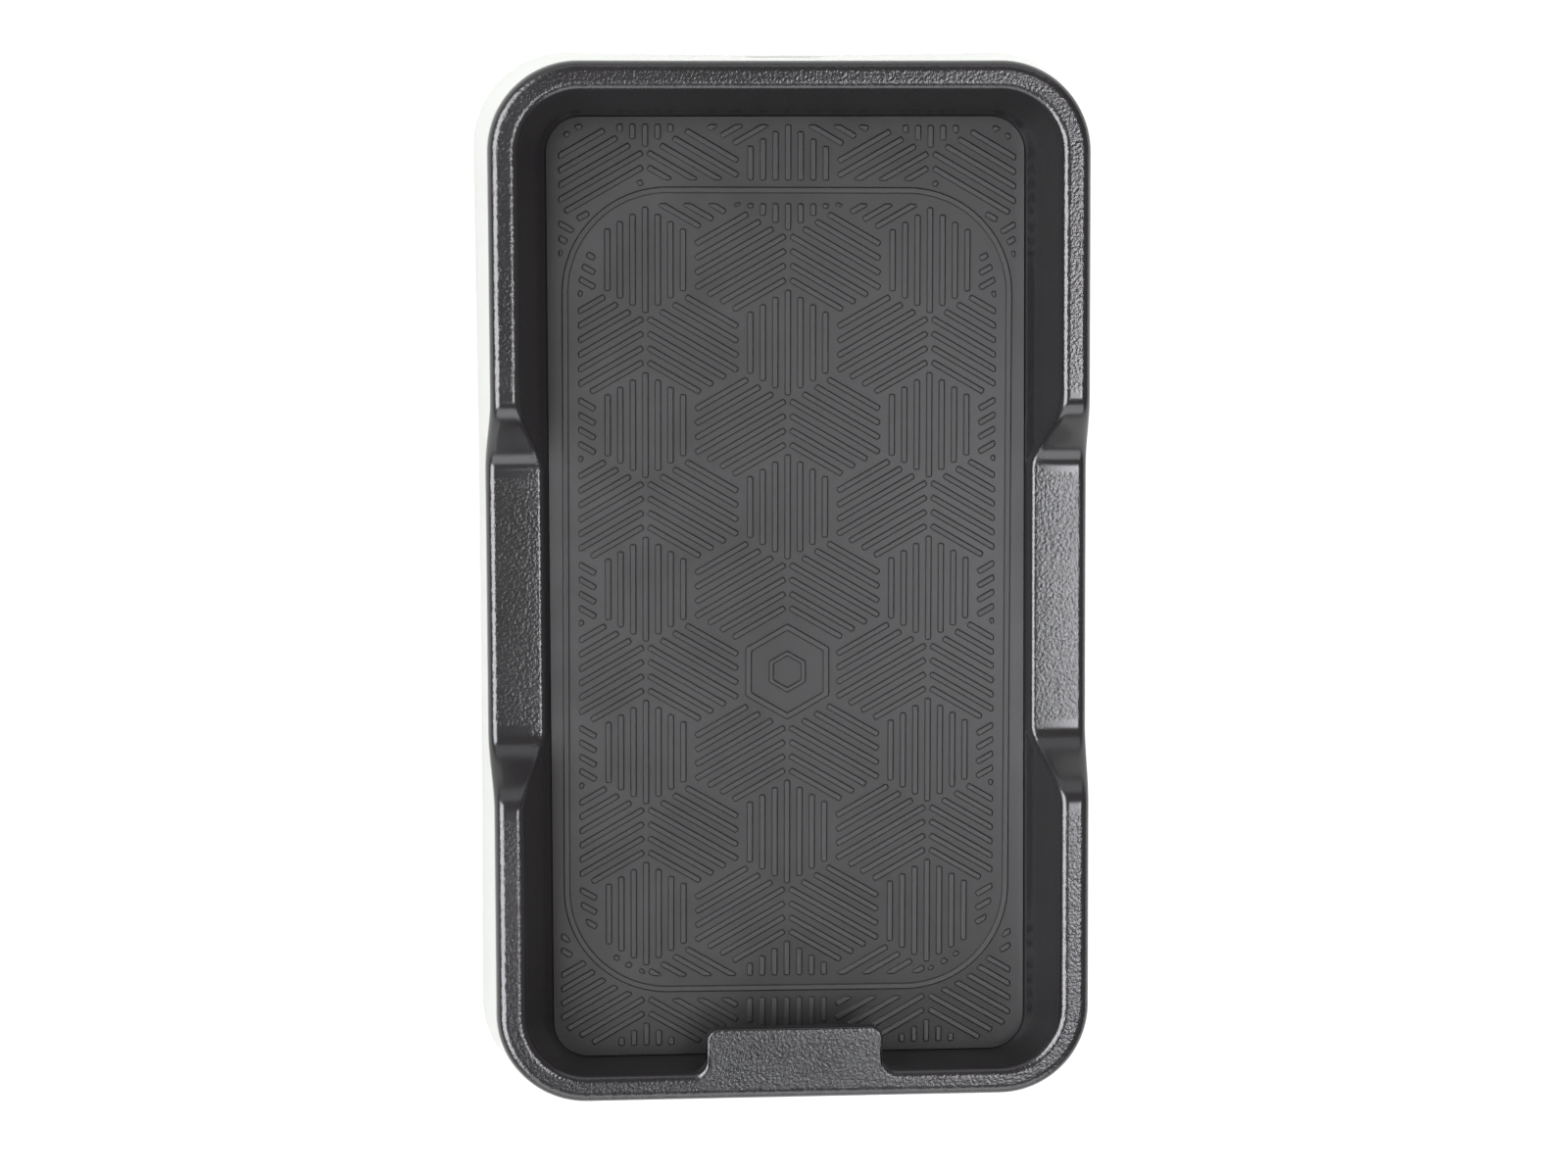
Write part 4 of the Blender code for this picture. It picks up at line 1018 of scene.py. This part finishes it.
    def bar_runs(self) -> np.ndarray:
        """Cut the bars at the zones' edges.

        Returns:
            For each run: direction, start, the start's outward normal, end, and the end's outward normal.
        """
        middle, along, half = self.bar_lines()
        track = self.track()
        inner_track = track.moved_out(-self.track_width)
        inner_zone = replace(inner_track, near=inner_track.near + self.near_gap)
        edge = self.outline()
        outer_zone = Outline(edge.half_x - self.side_gap, edge.near + self.end_gap,
                             edge.far - self.end_gap, edge.corner - self.side_gap)
        zones = (
            lambda p: -inner_zone.distance(p[..., 0], p[..., 1]) - self.track_gap,
            lambda p: np.minimum(track.distance(p[..., 0], p[..., 1]) - self.outer_gap,
                                 -outer_zone.distance(p[..., 0], p[..., 1])),
        )
        steps = np.linspace(-1.0, 1.0, self.bar_samples)
        places = middle[:, None] + along[:, None] * (half[:, None] * steps[None, :])[..., None]
        runs = []
        for zone in zones:
            value = zone(places)
            inside = value > 0
            padded = np.pad(inside, ((0, 0), (1, 1))).astype(int)
            edges = np.diff(padded, axis=1)
            for row, first in np.argwhere(edges == 1):
                last = first + int(np.argmax(edges[row, first:] == -1)) - 1
                ends = ((first, first - 1, -along[row]), (last, last + 1, along[row]))
                cuts = [self.run_end(zone, value[row], places[row], *end) for end in ends]
                runs.append((along[row], *cuts[0], *cuts[1]))
        return np.array(runs)

    def run_end(self, zone: Callable, value: np.ndarray, places: np.ndarray, inside: int, outside: int,
                outward: np.ndarray) -> tuple:
        """Where a run ends, and the outward normal of its end.

        Args:
            zone: the zone's function, above 0 inside it.
            value: the function along the bar.
            places: points along the bar.
            inside: the last point inside the zone.
            outside: the next point past it.
            outward: the bar's direction out of the run.

        Returns:
            The end's point and its normal: the bar's own direction, or the zone edge's normal.
        """
        if outside < 0 or outside >= len(places):
            return places[inside], outward
        share = value[inside] / (value[inside] - value[outside])
        point = places[inside] + (places[outside] - places[inside]) * share
        steps = self.slope_step * np.eye(2)
        slope = zone(point + steps) - zone(point - steps)
        normal = -slope / np.linalg.norm(slope)
        return point, outward if normal @ outward < self.least_lean else normal

    def ribs(self, body: Body) -> None:
        """Add every rib as a small prism with rounded corners and edges.

        A rib's core is a four-sided shape: the bar's strip and its two end cuts, all moved in by the
        corner round. Each level of the rib is the core's corners with arcs about them.
        """
        runs = self.bar_runs()
        length = np.linalg.norm(runs[:, 3] - runs[:, 1], axis=1)
        along, start, start_normal, stop, stop_normal = runs[length > self.shortest_bar].swapaxes(0, 1)
        across = np.column_stack([-along[:, 1], along[:, 0]])
        spare = self.bar_width / 2 - self.bar_round

        def corner_at(end: np.ndarray, normal: np.ndarray, side: int) -> np.ndarray:
            """Distance along the bar from an end's point to the core's corner on one side."""
            reach = -self.bar_round - side * spare * np.sum(across * normal, axis=1)
            return reach / np.sum(along * normal, axis=1)

        cores = []
        for side in (-1, 1):
            first = np.sum((start - stop) * along, axis=1) + corner_at(start, start_normal, side)
            last = corner_at(stop, stop_normal, side)
            middle = (first + last) / 2
            reach = (np.minimum(first, middle), np.maximum(last, middle))
            cores.append([stop + along * t[:, None] + side * spare * across for t in reach])
        corners = np.stack([cores[0][1], cores[1][1], cores[1][0], cores[0][0]], axis=1)
        normals = np.stack([-across, stop_normal, across, start_normal, -across], axis=1)
        angle = np.arctan2(normals[..., 1], normals[..., 0])
        sweep = np.mod(angle[:, 1:] - angle[:, :-1], 2 * np.pi)
        fan = angle[:, :4, None] + sweep[:, :, None] * np.linspace(0.0, 1.0, 3)[None, None]
        unit = np.stack([np.cos(fan), np.sin(fan)], axis=-1)
        rings = []
        for inset, z in self.profile():
            flat = self.laid(corners[:, :, None] + unit * (self.bar_round - inset))
            rings.append(at_height(flat.reshape(len(corners), -1, 2), z))
        body.add_skins(np.stack(rings, axis=1))
        LOG.info("%d ribs on the mat", len(corners))

    def build(self) -> bpy.types.Object:
        """Build the mat and dress it."""
        body = Body()
        self.slab(body)
        track = self.track()
        self.raised_line(
            body,
            lambda distance: track.moved_out(distance).points(self.track_steps),
            lambda distance: track.moved_out(distance - self.track_width).points(self.track_steps),
        )
        self.badge(body)
        self.ribs(body)
        return settled(body.make("ribbed_mat", sharp_angle=50.0), self.finish, "grip_mat")


def settled(piece: bpy.types.Object, finish: Finish, *nodes: str) -> bpy.types.Object:
    """Dress a piece, let it ride on the root body and stand for its CAD nodes.

    Args:
        piece: the new piece.
        finish: its finish.
        nodes: the CAD nodes that it replaces.

    Returns:
        The piece.
    """
    piece.data.materials.clear()
    piece.data.materials.append(material_for(finish.slot))
    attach(piece, ROOT)
    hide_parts(*nodes)
    return piece


def apply_modifiers(piece: bpy.types.Object) -> None:
    """Replace a piece's mesh with what its modifiers make of it."""
    graph = bpy.context.evaluated_depsgraph_get()
    mesh = bpy.data.meshes.new_from_object(piece.evaluated_get(graph))
    piece.modifiers.clear()
    old = piece.data
    piece.data = mesh
    mesh.name = piece.name
    bpy.data.meshes.remove(old)


def material_for(slot: str) -> bpy.types.Material:
    """The material of a slot, made the first time it is asked for."""
    finish = FINISHES[slot]
    return bpy.data.materials.get(finish.material_name()) or finish.material()


def dress_frame() -> None:
    """Give every CAD node the material of its slot in the record."""
    slots = {part["node"]: part["material_slot"] for part in frame["record"]["subparts"]}
    for name, node in frame["nodes"].items():
        made = material_for(slots[name])
        node.data.materials.clear()
        node.data.materials.append(made)
        LOG.info("frame node %s is dressed in %s", name, made.name)


# The studio


@dataclass(frozen=True)
class Light:
    """A rectangular light that faces the pad.

    Its size is its width along the floor and its height, and glow is the brightness of its face, a
    quarter of its power over its area. It either shows in glossy reflections only or lights matt
    surfaces only.
    """

    name: str
    place: tuple
    size: tuple
    glow: float
    reflects: bool

    def build(self, middle: Vector) -> None:
        """Add the light to the scene, turned to face a point."""
        data = bpy.data.lights.new(self.name, "AREA")
        data.shape = "RECTANGLE"
        data.size, data.size_y = self.size
        data.energy = 4 * self.glow * data.size * data.size_y
        data.color = (0.95, 0.955, 1.0) if self.reflects else (1.0, 1.0, 1.0)
        lamp = bpy.data.objects.new(self.name, data)
        lamp.location = self.place
        lamp.rotation_euler = (middle - Vector(self.place)).to_track_quat("-Z", "Y").to_euler()
        lamp.visible_glossy = self.reflects
        lamp.visible_diffuse = not self.reflects
        bpy.context.scene.collection.objects.link(lamp)


PANEL = (0.9, 0.6)
LIGHTS = (
    Light("overhead_panel", (0.0, 0.0, 1.30), (1.6, 1.6), 1.2, False),
    Light("left_panel", (-0.80, 0.0, 0.50), PANEL, 1.55, False),
    Light("right_panel", (0.80, 0.0, 0.50), PANEL, 1.6, False),
    Light("far_panel", (0.0, 0.80, 0.50), PANEL, 2.3, False),
    Light("near_panel", (0.0, -0.80, 0.50), PANEL, 1.6, False),
    Light("left_card", (-0.70, 0.0, 0.70), (1.5, 0.66), 11.5, True),
    Light("high_card", (0.33, -0.06, 1.00), (0.38, 0.28), 13.5, True),
    Light("near_card", (0.08, -0.29, 0.95), (0.15, 0.08), 9.0, True),
    Light("low_near_card", (0.0, -0.90, 0.42), (1.4, 0.60), 2.7, True),
    Light("low_far_card", (0.0, 0.90, 0.35), (1.4, 0.50), 0.9, True),
)


@dataclass
class Studio:
    """Floor, lights, world and camera."""

    aim: Vector = field(default_factory=lambda: Vector((-0.00158, -0.00032, 0.026)))
    eye: Vector = field(default_factory=lambda: Vector((-0.04903, 0.0559, 0.64929)))
    lens: float = 86.19
    sensor: float = 36.0
    roll: float = -0.2233
    middle: Vector = field(default_factory=lambda: Vector((0.0, 0.0, 0.02)))
    sky_strength: float = 0.25
    floor_reach: float = 3.0
    floor_white: float = 0.93
    floor_roughness: float = 0.9

    def camera(self) -> None:
        """Look down on the pad from a little to the left and towards the far end."""
        data = bpy.data.cameras.new("studio_camera")
        data.lens = self.lens
        data.sensor_width = self.sensor
        data.clip_start = 0.01
        data.clip_end = 20.0
        camera = bpy.data.objects.new("studio_camera", data)
        back = (self.eye - self.aim).normalized()
        right = Vector((0.0, 1.0, 0.0)).cross(back).normalized()
        up = back.cross(right)
        turn = Matrix((right, up, back)).transposed() @ Matrix.Rotation(math.radians(self.roll), 3, "Z")
        camera.matrix_world = Matrix.Translation(self.eye) @ turn.to_4x4()
        bpy.context.scene.collection.objects.link(camera)
        bpy.context.scene.camera = camera

    def world(self) -> None:
        """Set a dim white sky, and show colours as they are."""
        scene = bpy.context.scene
        scene.world = bpy.data.worlds.new("studio_world")
        scene.world.use_nodes = True
        sky = scene.world.node_tree.nodes["Background"]
        sky.inputs["Color"].default_value = (1.0, 1.0, 1.0, 1.0)
        sky.inputs["Strength"].default_value = self.sky_strength
        scene.view_settings.view_transform = "Standard"
        scene.view_settings.look = "None"

    def floor(self) -> None:
        """Lay a wide sheet of white paper under the pad."""
        reach = self.floor_reach
        corners = [(-reach, -reach, 0.0), (reach, -reach, 0.0), (reach, reach, 0.0), (-reach, reach, 0.0)]
        mesh = bpy.data.meshes.new("studio_floor")
        mesh.from_pydata(corners, [], [(0, 1, 2, 3)])
        floor = bpy.data.objects.new("studio_floor", mesh)
        bpy.context.scene.collection.objects.link(floor)
        paper = bpy.data.materials.new("studio_paper")
        paper.use_nodes = True
        shader = paper.node_tree.nodes["Principled BSDF"]
        shader.inputs["Base Color"].default_value = (*[self.floor_white] * 3, 1.0)
        shader.inputs["Roughness"].default_value = self.floor_roughness
        mesh.materials.append(paper)

    def build(self) -> None:
        """Set up the whole studio."""
        self.world()
        self.floor()
        for light in LIGHTS:
            light.build(self.middle)
        self.camera()


def main() -> None:
    """Build the studio and every piece, in order."""
    logging.basicConfig(level=logging.INFO, format="%(name)s: %(message)s")
    Studio().build()
    dress_frame()
    tray_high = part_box("charging_tray")[1]
    mat_low, mat_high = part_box("grip_mat")
    socket_low, socket_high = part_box("cable_socket")
    port_z = (socket_low.z + socket_high.z) / 2
    form = CaseForm(height=tray_high.z)
    makers = [
        ChargingTray(form, FINISHES["tray_black"]),
        OuterHousing(form, FINISHES["housing_white"], port_z),
        GripMat(FINISHES["mat_rubber"], mat_low, mat_high),
    ]
    for maker in makers:
        piece = maker.build()
        LOG.info("%s: %d faces", piece.name, len(piece.data.polygons))


if __name__ == "__main__":
    main()
